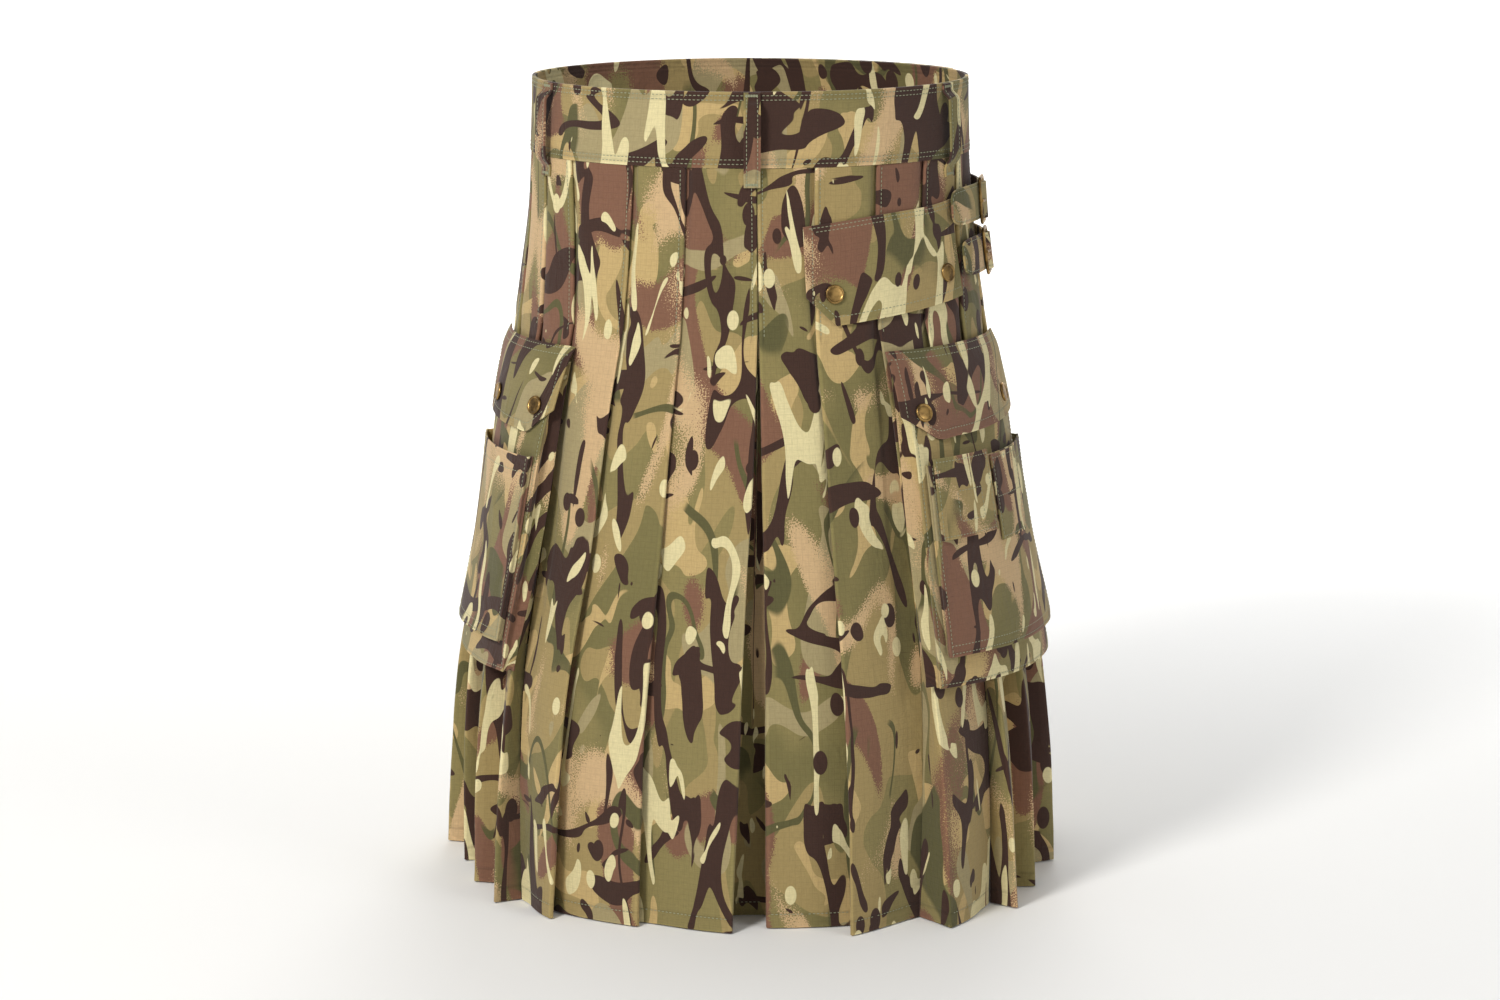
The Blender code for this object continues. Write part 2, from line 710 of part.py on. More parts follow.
def over_patch(side, drop, share):
    return patch_front(side, drop, share) + PIECE + SEAM + DETAIL_SEAT


def bag_level(side, drop, share, level):
    return SEAM + bag_depth(drop) * fullness(side, share) * level


def patch_level(side, drop, share, level):
    return patch_base(side, drop, share) + PATCH_DEPTH * level


def flap_out(side, drop, share):
    # The flap hangs from its seam over the bag's front
    hang = min(max((drop - POCKET_TOP) / (BAG_TOP - POCKET_TOP), 0.0), 1.0)
    resting = bag_front(side, max(drop, BAG_TOP), share) + PIECE + SEAM + FLAP_SEAT
    return mix(SEAM + PIECE / 2.0, resting, hang)


def tray_rows(side, start, end, drops, level_out, fold, flare):
    # Pocket whose edges go back to what it is sewn on: open at the top, gusseted at the sides and
    # at the bottom. A level is 2 on the front panel, 1 half-way down the gusset and 0 at its seam.
    # The side gussets fold inward, less and less towards the bottom corners.
    bottom = drops[-1]
    corner_step = CORNER_STEP / POCKET_WIDTH
    columns = [(0, start, 1.0), (1, start, 1.0), (2, start, 1.0)]
    columns += [(2, share, 0.0) for share in PANEL_SHARES]
    columns += [(2, end, -1.0), (1, end, -1.0), (0, end, -1.0)]
    rows = []
    for level, drop in [(2, drop) for drop in drops] + [(1, bottom), (0, bottom)]:
        row = []
        for reach, edge, inward in columns:
            lowest = min(level, reach)
            place = drop - (CORNER_STEP * max(0, level - reach) if drop == bottom else 0.0)
            share = edge + inward * corner_step * max(0, reach - level)
            if reach == 0:
                share -= inward * flare / POCKET_WIDTH
            elif lowest == 1 and reach == 1:
                share += inward * fold / POCKET_WIDTH * min(1.0, (bottom - place) / FOLD_FADE)
            row.append((place, share, level_out(side, place, share, lowest / 2.0)))
        rows.append(row)
    return rows


def flap_rows(side):
    shares = [FLAP_EDGE[0][0], FLAP_EDGE[1][0]] + spread(FLAP_EDGE[2][0], FLAP_EDGE[-1][0], 0.12)
    rows = []
    for share_down in (0.0, 0.2, 0.45, 0.72, 1.0):
        row = []
        for share in shares:
            drop = mix(POCKET_TOP - 1.0, straight_value(FLAP_EDGE, 1, share), share_down)
            row.append((drop, share, flap_out(side, drop, share)))
        rows.append(row)
    return rows


def pocket_grid(side, rows):
    # Rows of (drop, share, out), turned so that the angle grows along each row
    if side == "left":
        rows = [list(reversed(row)) for row in rows]
    return [[pocket_point(side, *spot) for spot in row] for row in rows]


def flap_surface(side):
    def surface(drop, angle):
        back, base_back = pocket_place(side, drop, 0.0)
        front, base_front = pocket_place(side, drop, 1.0)
        share = (angle - back) / (front - back)
        return space_point(drop, angle, mix(base_back, base_front, share) + flap_out(side, drop, share))
    return surface


def make_pocket(side):
    start, end = PATCH_SHARES
    bag = tray_rows(side, 0.0, 1.0, BAG_DROPS, bag_level, GUSSET_FOLD, BAG_FLARE)
    patch = tray_rows(side, start, end, PATCH_DROPS, patch_level, PATCH_FOLD, 0.0)
    cloth_wall(side + "_bag", pocket_grid(side, bag), PIECE)
    cloth_wall(side + "_patch", pocket_grid(side, patch), PIECE)
    cloth_wall(side + "_flap", pocket_grid(side, flap_rows(side)), PIECE)
    for name, share in FLAP_SNAPS[side]:
        angle, _ = pocket_place(side, SNAP_DROP, share)
        make_snap(side + "_snap_" + name, flap_surface(side), SNAP_DROP, angle)


def make_patch_details():
    for name, start, end, top, bottom in PATCH_DETAILS:
        rows = []
        for drop in spread(top, bottom, 22.0):
            shares = spread(start, end, (end - start) / 3.0)
            rows.append([(drop, share, over_patch("right", drop, share)) for share in shares])
        cloth_wall(name, pocket_grid("right", rows), PIECE)


def make_kilt():
    clear_scene()
    make_waistband()
    make_pleats()
    make_aprons()
    for name, angle in LOOP_ROWS:
        make_loop(name, angle)
    make_hip_flap()
    for name, angle, drop in HIP_SNAPS:
        make_snap(name, hip_flap_surface, drop, angle)
    for name, drop, tip_angle in STRAPS:
        make_strap(name, drop, tip_angle)
        make_buckle("buckle_" + name, drop)
    for side in ("right", "left"):
        make_pocket(side)
    make_patch_details()


make_kilt()
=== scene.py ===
# Utility kilt dressed for its picture: cloth shells on the solids' forms, sewing, a generic
# camouflage print on ripstop, brass fittings, light, floor and camera.
# Angles go round the body from the centre back (0) over the right hip (90) to the front (180).
# A drop is the distance below the top edge of the waistband. Tables are in millimetres.

import math

import bpy
import numpy as np
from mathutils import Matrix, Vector, noise


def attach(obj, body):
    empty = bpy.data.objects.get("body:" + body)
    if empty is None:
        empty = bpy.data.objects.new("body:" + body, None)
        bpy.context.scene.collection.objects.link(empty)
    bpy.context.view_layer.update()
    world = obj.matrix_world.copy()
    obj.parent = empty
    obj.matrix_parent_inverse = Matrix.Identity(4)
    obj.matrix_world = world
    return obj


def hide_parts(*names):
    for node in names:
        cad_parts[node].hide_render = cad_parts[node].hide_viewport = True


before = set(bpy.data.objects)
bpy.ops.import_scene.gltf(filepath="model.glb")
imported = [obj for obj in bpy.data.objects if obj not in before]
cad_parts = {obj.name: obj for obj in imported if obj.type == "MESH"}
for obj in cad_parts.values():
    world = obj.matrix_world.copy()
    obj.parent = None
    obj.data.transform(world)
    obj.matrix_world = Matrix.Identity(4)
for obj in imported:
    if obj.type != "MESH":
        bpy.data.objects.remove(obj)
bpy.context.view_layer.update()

MM = 0.001

# Driving sizes
LENGTH = 605.0
BAND_HEIGHT = 55.0
BAND_THICKNESS = 3.0
BAND_PROUD = 0.8
CLOTH = 1.0
PLEAT_AIR = 0.6
LAYER_STEP = CLOTH + PLEAT_AIR
HEM_FOLD = 2.4
SEAM = 0.3
PIECE = 1.2
RELEASE_DROP = 172.0
OPENING_POWER = 0.75
LAP = BAND_THICKNESS + SEAM
LEFT_SEAM = -122.0
RIGHT_SEAM = 122.0
OUTER_EDGE = 112.0 - 360.0
INNER_EDGE = 180.0
# Where the outer end of the wrap starts to lie over the inner one, and the turn it takes to get there
LAP_START = -130.0
LAP_TURN = 45.0
APRON_FLARE = 3.0

# Sections of the outer surface, a row for each height:
# drop, half width, depth at the back, depth at the front, squareness (2 is an ellipse)
SECTIONS = (
    (0.0, 162.5, 117.0, 117.0, 2.00),
    (55.0, 164.5, 119.0, 118.0, 2.00),
    (110.0, 168.0, 125.0, 121.0, 2.05),
    (172.0, 176.5, 135.0, 127.0, 2.10),
    (240.0, 187.0, 148.0, 135.0, 2.20),
    (330.0, 199.0, 165.0, 145.0, 2.30),
    (430.0, 222.0, 182.0, 154.0, 2.35),
    (510.0, 231.0, 192.0, 161.0, 2.38),
    (605.0, 235.0, 202.0, 168.0, 2.40),
)

# Heights of the rings that the pleats and aprons run through
RING_DROPS = (55.3, 85.0, 120.0, 150.0, 175.0, 205.0, 245.0, 295.0, 355.0, 425.0, 510.0, 605.0)

# Pleats from the side seams to the centre back. Angles of the fold's tip at the waist and where the
# stitching ends, then plan positions at the hem: of the tip, of the inner fold behind it, and of the
# place where the next face leaves the inner fold. A row for each pleat:
# name, waist, release, tip_x, tip_y, inner_x, inner_y, bend_x, bend_y
LEFT_PLEATS = (
    ("left_8", -112.0, -111.0, -229.0, 76.0, -206.0, 66.0, -214.0, 56.0),
    ("left_7", -99.0, -97.0, -236.0, 30.0, -208.0, 20.0, -212.0, 8.0),
    ("left_6", -83.0, -77.0, -220.0, -22.0, -196.0, -22.0, -200.0, -36.0),
    ("left_5", -68.0, -61.0, -209.0, -77.0, -182.0, -86.0, -181.0, -98.0),
    ("left_4", -53.8, -47.0, -191.0, -129.0, -171.0, -122.0, -166.0, -131.0),
    ("left_3", -31.6, -30.9, -147.0, -168.0, -149.0, -143.0, -142.0, -154.0),
    ("left_2", -16.9, -15.9, -83.0, -186.0, -102.0, -168.0, -78.0, -177.0),
    ("left_1", 1.3, 1.3, -14.0, -203.0, -40.0, -174.0, -12.0, -161.0),
)
RIGHT_PLEATS = (
    ("right_7", 105.0, 103.0, 231.0, 46.0, 210.0, 26.0, 219.0, 12.0),
    ("right_6", 89.0, 82.0, 234.0, -21.0, 204.0, -38.0, 208.0, -52.0),
    ("right_5", 70.0, 63.0, 215.0, -89.0, 187.0, -92.0, 191.0, -107.0),
    ("right_4", 51.5, 46.5, 199.0, -143.0, 179.0, -131.0, 174.0, -143.0),
    ("right_3", 34.7, 31.3, 148.0, -190.0, 124.0, -164.0, 115.0, -172.0),
    ("right_2", 17.1, 15.0, 74.0, -208.0, 96.0, -182.0, 79.0, -185.0),
    ("right_1", 2.1, 2.1, 13.0, -190.0, 38.0, -168.0, 10.0, -160.0),
)

# Shares of a pleat's pitch: how far the fold runs back under its face, and where the next face rises
UNDERLAP_SHARE = 0.45
RISE_START_SHARE = 0.05
RISE_END_SHARE = 0.16
FACE_MIDDLE_SHARE = 0.58
FACE_BULGE = 0.012
# At the hem the next face starts at this share of the way to its bend, and leaves it by the other share
LOW_BEND_SHARE = 0.6
HIGH_BEND_SHARE = 0.05

# Belt loops, a row for each: name and angle
LOOP_WIDTH = 12.0
LOOP_THICKNESS = 1.5
LOOP_ROWS = (
    ("loop_back", 0.5),
    ("loop_left", -65.0),
    ("loop_right", 62.5),
    ("loop_front_left", -140.0),
    ("loop_front_right", 140.0),
)
# Profile of a loop: drop, and distance of its inner face from the cloth below it
LOOP_PROFILE = (
    (0.4, 0.3), (6.0, 0.3), (11.0, 5.2), (20.0, 5.7), (46.0, 5.6), (55.0, 4.4), (62.0, 0.4), (69.0, 0.4),
)

# Hip pocket flap, a row for each station: angle, drop of its top edge, drop of its bottom edge
HIP_FLAP_SEAT = 0.35
HIP_FLAP_LIFT = 1.2
HIP_FLAP = (
    (12.8, 97.4, 148.0),
    (16.3, 96.2, 158.5),
    (19.8, 95.2, 168.6),
    (30.4, 91.8, 165.3),
    (40.0, 89.8, 162.6),
    (51.0, 88.2, 159.5),
    (62.5, 85.4, 156.3),
)
# Snaps of the hip flap: name, angle, drop
HIP_SNAPS = (("hip_snap_back", 19.7, 146.0), ("hip_snap_front", 56.2, 138.0))

# Straps: name, drop of the centre line, angle of the free end
STRAPS = (("upper", 91.5, 59.5), ("lower", 129.5, 63.3))
STRAP_ROOT = 127.0
STRAP_WIDTH = 27.0
STRAP_THICKNESS = 1.5
# Clear heights over the hip flap and over the apron
STRAP_LIFT = 4.0
STRAP_SEAT = 0.2
BUCKLE_ANGLE = 83.5
BUCKLE_LENGTH = 24.0
BUCKLE_HEIGHT = 36.0
BUCKLE_BAR = 3.2
BUCKLE_THICKNESS = 2.4
# Degrees from the buckle's middle where the strap starts and ends its climb over the middle bar
BAR_RISE_START = 3.6
BAR_RISE_END = 1.0

# Cargo pockets: angle of the back edge at the top and at the bottom, angle of the front edge at the
# top and at the bottom, how far the bottom corners stand out of the section (back one, front one),
# and the clear height over the pleats at the top. Fullness is the bag's depth at the back and front edge
POCKETS = {
    "right": (34.3, 32.0, 83.0, 86.0, 11.5, 1.5, 1.5),
    "left": (-46.5, -51.0, -90.0, -88.0, -2.2, -6.0, 0.2),
}
FULLNESS = {"right": (1.0, 0.3), "left": (0.9, 0.3)}
POCKET_TOP = 190.0
POCKET_BOTTOM = 428.0
BAG_TOP = 200.0
# Depth of the bag, a row for each height: drop, depth
BAG_DEPTH = ((200.0, 4.0), (225.0, 10.0), (260.0, 15.0), (320.0, 16.0), (380.0, 13.0), (428.0, 8.0))
GUSSET_FOLD = 4.0
FOLD_FADE = 90.0
POCKET_WIDTH = 140.0
CORNER_STEP = 5.0
BAG_DROPS = (200.0, 215.0, 235.0, 260.0, 300.0, 345.0, 385.0, 405.0, 428.0)
PATCH_DROPS = (268.0, 300.0, 345.0, 385.0, 405.0)
PATCH_SHARES = (0.04, 0.96)
# Columns that the front panels of a bag and of the patch on it have in common
PANEL_SHARES = (0.2, 0.4, 0.6, 0.8)
PATCH_DEPTH = 4.5
PATCH_FOLD = 1.0
# The bag's side gussets are sewn down this far outside its front panel
BAG_FLARE = 5.0
PATCH_SEAT = 0.2
FLAP_SEAT = 1.3
DETAIL_SEAT = 0.8
# Pieces on the right patch: name, share of the pocket's width at the start and the end, top and bottom drop
PATCH_DETAILS = (
    ("right_small_flap", 0.055, 0.40, 263.0, 321.0),
    ("right_pen_slot", 0.425, 0.68, 268.0, 330.0),
)
# Lower edge of the flap: share of the pocket's width, drop
FLAP_EDGE = (
    (-0.055, 233.0), (0.04, 242.0), (0.13, 251.0), (0.4, 250.5), (0.65, 249.0), (0.9, 247.0), (1.01, 246.0),
)
SNAP_DROP = 232.0
FLAP_SNAPS = {"right": (("back", 0.065), ("front", 0.79)), "left": (("back", 0.1), ("front", 0.62))}

# Snaps
SNAP_SEAT = 0.6


def mix(start, end, share):
    return start + (end - start) * share


def curve(t, span, start, end, leaving, arriving):
    # Smooth curve between two values with a slope at each
    return (
        (2 * t**3 - 3 * t**2 + 1) * start
        + (t**3 - 2 * t**2 + t) * span * leaving
        + (3 * t**2 - 2 * t**3) * end
        + (t**3 - t**2) * span * arriving
    )


def table_value(rows, column, at):
    # Smooth curve through the rows of a table, whose first column is the place
    last = len(rows) - 1
    if at <= rows[0][0]:
        return rows[0][column]
    if at >= rows[last][0]:
        return rows[last][column]
    i = max(k for k in range(last) if rows[k][0] <= at)

    def slope(k):
        low = max(k - 1, 0)
        high = min(k + 1, last)
        return (rows[high][column] - rows[low][column]) / (rows[high][0] - rows[low][0])

    span = rows[i + 1][0] - rows[i][0]
    t = (at - rows[i][0]) / span
    start = rows[i][column]
    end = rows[i + 1][column]
    return curve(t, span, start, end, slope(i), slope(i + 1))


def straight_value(rows, column, at):
    # Straight lines between the rows of a table
    for low, high in zip(rows, rows[1:]):
        if at <= high[0]:
            return mix(low[column], high[column], (at - low[0]) / (high[0] - low[0]))
    return rows[-1][column]


def signed_power(value, power):
    return math.copysign(abs(value) ** power, value)


def section_point(drop, angle):
    width = table_value(SECTIONS, 1, drop)
    front = math.cos(math.radians(angle)) < 0.0
    depth = table_value(SECTIONS, 3 if front else 2, drop)
    power = 2.0 / table_value(SECTIONS, 4, drop)
    x = width * signed_power(math.sin(math.radians(angle)), power)
    y = -depth * signed_power(math.cos(math.radians(angle)), power)
    return x, y


def ring_point(drop, angle, out=0.0):
    # Point of the outer surface, moved out square to it
    x, y = section_point(drop, angle)
    x0, y0 = section_point(drop, angle - 1.0)
    x1, y1 = section_point(drop, angle + 1.0)
    along = math.hypot(x1 - x0, y1 - y0)
    return x + out * (y1 - y0) / along, y - out * (x1 - x0) / along


def height(drop):
    return (BAND_HEIGHT / 2.0 - drop) * MM


def space_point(drop, angle, out=0.0):
    x, y = ring_point(drop, angle, out)
    return Vector((x * MM, y * MM, height(drop)))


def degrees_for(drop, angle, length):
    # Angle that a length along the section takes up
    x0, y0 = section_point(drop, angle - 0.5)
    x1, y1 = section_point(drop, angle + 0.5)
    return length / math.hypot(x1 - x0, y1 - y0)


# Pleats

def hem_place(x, y):
    # Angle and scale of a plan position at the hem, against the section there
    width = SECTIONS[-1][1]
    depth = SECTIONS[-1][3] if y > 0.0 else SECTIONS[-1][2]
    square = SECTIONS[-1][4]
    scale = (abs(x / width) ** square + abs(y / depth) ** square) ** (1.0 / square)
    sine = signed_power(x / (scale * width), square / 2.0)
    cosine = signed_power(-y / (scale * depth), square / 2.0)
    return math.degrees(math.atan2(sine, cosine)), scale


def opening(drop):
    if drop <= RELEASE_DROP:
        return 0.0
    return ((drop - RELEASE_DROP) / (LENGTH - RELEASE_DROP)) ** OPENING_POWER


def pleat_column(waist, release, layer, hem_x, hem_y):
    hem_angle, hem_scale = hem_place(hem_x, hem_y)
    return {
        "waist": waist,
        "release": release,
        "layer": layer,
        "hem_angle": hem_angle,
        "hem_scale": hem_scale,
    }


def fold_column(tip, inner, at_inner, side):
    # One of the two edges of a fold, which lie side by side at its tip and at its inner end
    return {"tip": tip, "inner": inner, "at_inner": at_inner, "side": side, "turn": 1.0}


def mirrored(column):
    turned = dict(column)
    if "tip" in column:
        turned["tip"] = mirrored(column["tip"])
        turned["inner"] = mirrored(column["inner"])
        turned["turn"] = -column["turn"]
        return turned
    for key in ("waist", "release", "hem_angle"):
        turned[key] = -column[key]
    return turned


def column_point(column, drop):
    opened = opening(drop)
    if "tip" in column:
        tip = column_point(column["tip"], drop)
        inner = column_point(column["inner"], drop)
        back = (inner - tip).normalized()
        aside = Vector((back.y, -back.x, 0.0)) * column["turn"] * column["side"]
        return (inner if column["at_inner"] else tip) + aside * mix(LAYER_STEP, HEM_FOLD, opened) * MM / 2.0
    stitched = min(max((drop - BAND_HEIGHT) / (RELEASE_DROP - BAND_HEIGHT), 0.0), 1.0)
    angle = mix(column["waist"], column["release"], stitched)
    angle = mix(angle, column["hem_angle"], opened)
    depth = CLOTH / 2.0 + column["layer"] * LAYER_STEP
    x, y = ring_point(drop, angle, -depth * (1.0 - opened))
    scale = mix(1.0, column["hem_scale"], opened)
    return Vector((x * scale * MM, y * scale * MM, height(drop)))


def pleat_run(rows, seam_angle, seam_x, seam_y):
    # Columns of the left half from the side seam to the centre back, split at each inner fold
    runs = []
    current = [pleat_column(seam_angle, seam_angle, 0, seam_x, seam_y)]
    previous = (seam_angle, seam_angle, seam_x, seam_y)
    for k, (_, waist, release, tip_x, tip_y, inner_x, inner_y, bend_x, bend_y) in enumerate(rows):
        tip = Vector((tip_x, tip_y))
        inner = Vector((inner_x, inner_y))
        start = Vector(previous[2:])
        # Middle of the face, a little out of the straight line
        middle = start.lerp(tip, FACE_MIDDLE_SHARE) * (1.0 + FACE_BULGE)
        current.append(pleat_column(
            mix(previous[0], waist, FACE_MIDDLE_SHARE), mix(previous[1], release, FACE_MIDDLE_SHARE),
            0, middle.x, middle.y))
        # The fold's tip and the inner fold behind it
        tip_column = pleat_column(waist, release, 0.5, tip.x, tip.y)
        inner_column = pleat_column(
            mix(waist, previous[0], UNDERLAP_SHARE), mix(release, previous[1], UNDERLAP_SHARE),
            1.5, inner.x, inner.y)
        current.append(fold_column(tip_column, inner_column, False, -1.0))
        current.append(fold_column(tip_column, inner_column, False, 1.0))
        current.append(fold_column(tip_column, inner_column, True, -1.0))
        runs.append(current)
        current = [fold_column(tip_column, inner_column, True, 1.0)]
        if k + 1 < len(rows):
            # The next face rises from under the tip
            next_waist, next_release = rows[k + 1][1:3]
            next_tip = Vector(rows[k + 1][3:5])
            bend = Vector((bend_x, bend_y))
            low = inner.lerp(bend, LOW_BEND_SHARE)
            current.append(pleat_column(
                mix(waist, next_waist, RISE_START_SHARE), mix(release, next_release, RISE_START_SHARE),
                2, low.x, low.y))
            high = bend.lerp(next_tip, HIGH_BEND_SHARE)
            current.append(pleat_column(
                mix(waist, next_waist, RISE_END_SHARE), mix(release, next_release, RISE_END_SHARE),
                0, high.x, high.y))
            previous = (waist, release, bend_x, bend_y)
        else:
            current.append(pleat_column(waist, release, 2, bend_x, bend_y))
    runs.append(current)
    return runs


def lap_out(angle):
    # The outer end of the wrap lies outside the inner one, in front and on the right hip
    share = min(max((LAP_START - angle) / LAP_TURN, 0.0), 1.0)
    return LAP * share * share * (3.0 - 2.0 * share)


def spread(start, end, step):
    count = max(2, math.ceil(abs(end - start) / step))
    return [mix(start, end, i / count) for i in range(count + 1)]


def hip_flap_out(drop):
    lift = HIP_FLAP_LIFT * max(0.0, (drop - 120.0) / 50.0)
    return SEAM + PIECE / 2.0 + HIP_FLAP_SEAT + lift


def hip_flap_surface(drop, angle):
    return space_point(drop, angle, hip_flap_out(drop))


def strap_out(angle):
    # Distance of the strap's middle from the section, from its free end to its root on the apron
    base = STRAP_THICKNESS / 2.0 + SEAM
    on_flap = base + PIECE + STRAP_LIFT
    over_bar = on_flap + STRAP_THICKNESS + BUCKLE_THICKNESS + 2.0 * SEAM + STRAP_SEAT
    on_apron = base + LAP + STRAP_SEAT
    rows = (
        (0.0, on_flap),
        (BUCKLE_ANGLE - BAR_RISE_START, on_flap),
        (BUCKLE_ANGLE - BAR_RISE_END, over_bar),
        (BUCKLE_ANGLE + BAR_RISE_END, over_bar),
        (BUCKLE_ANGLE + BAR_RISE_START, on_flap),
        (OUTER_EDGE + 360.0 - 4.0, on_apron),
        (STRAP_ROOT, on_apron),
    )
    return straight_value(rows, 1, angle)


def facing(surface, drop, angle):
    # Place on a surface with the directions along it, down it and out of it
    place = surface(drop, angle)
    along = (surface(drop, angle + 1.5) - surface(drop, angle - 1.5)).normalized()
    down = (surface(drop + 6.0, angle) - surface(drop - 6.0, angle)).normalized()
    outward = down.cross(along).normalized()
    down = along.cross(outward).normalized()
    return place, along, down, outward


def pocket_place(side, drop, share):
    # Angle and distance from the section of the pocket's back, at a share of its width
    back_top, back_bottom, front_top, front_bottom, out_back, out_front, seat = POCKETS[side]
    fall = (drop - POCKET_TOP) / (POCKET_BOTTOM - POCKET_TOP)
    angle = mix(mix(back_top, back_bottom, fall), mix(front_top, front_bottom, fall), share)
    stand_off = mix(out_back, out_front, share) * max(fall, 0.0)
    return angle, stand_off + seat


def bag_depth(drop):
    return table_value(BAG_DEPTH, 1, drop)


def pocket_point(side, drop, share, out):
    angle, base = pocket_place(side, drop, share)
    return space_point(drop, angle, base + out)


def fullness(side, share):
    back, front = FULLNESS[side]
    return mix(back, front, share)


def bag_front(side, drop, share):
    return bag_level(side, drop, share, 1.0)


def patch_base(side, drop, share):
    return bag_front(side, drop, share) + PIECE / 2.0 + SEAM + PATCH_SEAT


def over_patch(side, drop, share):
    return patch_level(side, drop, share, 1.0) + PIECE + SEAM + DETAIL_SEAT


def bag_level(side, drop, share, level):
    # Middle of the bag's wall, from the seam of its gussets at 0 to its front panel at 1
    return SEAM + bag_depth(drop) * fullness(side, share) * level


def patch_level(side, drop, share, level):
    return patch_base(side, drop, share) + PATCH_DEPTH * level


def flap_out(side, drop, share):
    # The flap hangs from its seam over the bag's front
    hang = min(max((drop - POCKET_TOP) / (BAG_TOP - POCKET_TOP), 0.0), 1.0)
    resting = bag_front(side, max(drop, BAG_TOP), share) + PIECE + SEAM + FLAP_SEAT
    return mix(SEAM + PIECE / 2.0, resting, hang)


def tray_rows(side, start, end, drops, level_out, fold, flare):
    # Pocket whose edges go back to what it is sewn on: open at the top, gusseted at the sides and
    # at the bottom. A level is 2 on the front panel, 1 half-way down the gusset and 0 at its seam.
    # The side gussets fold inward, less and less towards the bottom corners.
    bottom = drops[-1]
    corner_step = CORNER_STEP / POCKET_WIDTH
    columns = [(0, start, 1.0), (1, start, 1.0), (2, start, 1.0)]
    columns += [(2, share, 0.0) for share in PANEL_SHARES]
    columns += [(2, end, -1.0), (1, end, -1.0), (0, end, -1.0)]
    rows = []
    for level, drop in [(2, drop) for drop in drops] + [(1, bottom), (0, bottom)]:
        row = []
        for reach, edge, inward in columns:
            lowest = min(level, reach)
            place = drop - (CORNER_STEP * max(0, level - reach) if drop == bottom else 0.0)
            share = edge + inward * corner_step * max(0, reach - level)
            if reach == 0:
                share -= inward * flare / POCKET_WIDTH
            elif lowest == 1 and reach == 1:
                share += inward * fold / POCKET_WIDTH * min(1.0, (bottom - place) / FOLD_FADE)
            row.append((place, share, level_out(side, place, share, lowest / 2.0)))
        rows.append(row)
    return rows


def flap_rows(side):
    shares = [FLAP_EDGE[0][0], FLAP_EDGE[1][0]] + spread(FLAP_EDGE[2][0], FLAP_EDGE[-1][0], 0.12)
    rows = []
    for share_down in (0.0, 0.2, 0.45, 0.72, 1.0):
        row = []
        for share in shares:
            drop = mix(POCKET_TOP - 1.0, straight_value(FLAP_EDGE, 1, share), share_down)
            row.append((drop, share, flap_out(side, drop, share)))
        rows.append(row)
    return rows


def pocket_grid(side, rows):
    # Rows of (drop, share, out), turned so that the angle grows along each row
    if side == "left":
        rows = [list(reversed(row)) for row in rows]
    return [[pocket_point(side, *spot) for spot in row] for row in rows]


def flap_surface(side):
    def surface(drop, angle):
        back, base_back = pocket_place(side, drop, 0.0)
        front, base_front = pocket_place(side, drop, 1.0)
        share = (angle - back) / (front - back)
        return space_point(drop, angle, mix(base_back, base_front, share) + flap_out(side, drop, share))
    return surface


# Cloth shells

CLOTH_SHOWN = 0.9
PIECE_SHOWN = 1.1
STITCH_PITCH = 3.1
STITCH_LENGTH = 2.3
STITCH_WIDTH = 0.62
STITCH_RISE = 0.3
EDGE_STITCH = 2.6
# Distances of the sewn lines from an edge
NARROW_SEAM = 2.2
WIDE_SEAM = 6.2
FLAP_SEAM = 6.5
HEM_SEAM = 10.0
FAR = 1.0

# Camera and floor, in metres and degrees
CAMERA_LENS = 96.3
CAMERA_PLACE = (0.0, -3.0, 0.3485)
CAMERA_TILT = 77.84
FLOOR_LEVEL = -0.5785
WALL_START = 2.5
WALL_BEND = 1.5

threads = {}


def wrinkle(point, outward, amount=1.0):
    # Soft unevenness of worn cloth, the same for pieces that lie on each other
    x, y, z = point
    broad = noise.noise(Vector((x * 13.0, y * 13.0, z * 5.0)))
    middle = noise.noise(Vector((x * 34.0 + 7.0, y * 34.0, z * 17.0)))
    fine = noise.noise(Vector((x * 85.0, y * 85.0 + 3.0, z * 55.0)))
    rise = (1.3 * broad + 0.6 * middle + 0.16 * fine) * MM * amount
    return (x + outward[0] * rise, y + outward[1] * rise, z + outward[2] * rise)


def normals_of(grid):
    along = np.gradient(grid, axis=1)
    down = np.gradient(grid, axis=0)
    outward = np.cross(down, along)
    length = np.maximum(np.linalg.norm(outward, axis=2, keepdims=True), 1e-12)
    return outward / length


def crumple(grid, amount=1.0):
    outward = normals_of(grid)
    return np.array([
        [wrinkle(point, normal, amount) for point, normal in zip(points, normals)]
        for points, normals in zip(grid, outward)])


def refine(grid, parts, sharp=()):
    # Smooth curve through the columns of a grid, which turns at the sharp ones.
    # Parts are the shares of each step at which the finer grid has a column.
    count = grid.shape[1]
    gaps = np.maximum(np.linalg.norm(np.diff(grid, axis=1), axis=2).mean(axis=0), 1e-6)
    place = np.concatenate([[0.0], np.cumsum(gaps)])
    columns = []
    starts = []
    for k in range(count - 1):
        a = grid[:, k]
        b = grid[:, k + 1]
        chord = (b - a) / gaps[k]
        bends = []
        for i in (k, k + 1):
            if i in (0, count - 1) or i in sharp:
                bends.append(chord)
            else:
                bends.append((grid[:, i + 1] - grid[:, i - 1]) / (place[i + 1] - place[i - 1]))
        starts.append(len(columns))
        shares = parts[k] if not isinstance(parts[k], int) else [i / parts[k] for i in range(parts[k])]
        for t in shares:
            columns.append(curve(t, gaps[k], a, b, *bends))
    starts.append(len(columns))
    columns.append(grid[:, -1])
    return np.stack(columns, axis=1), starts


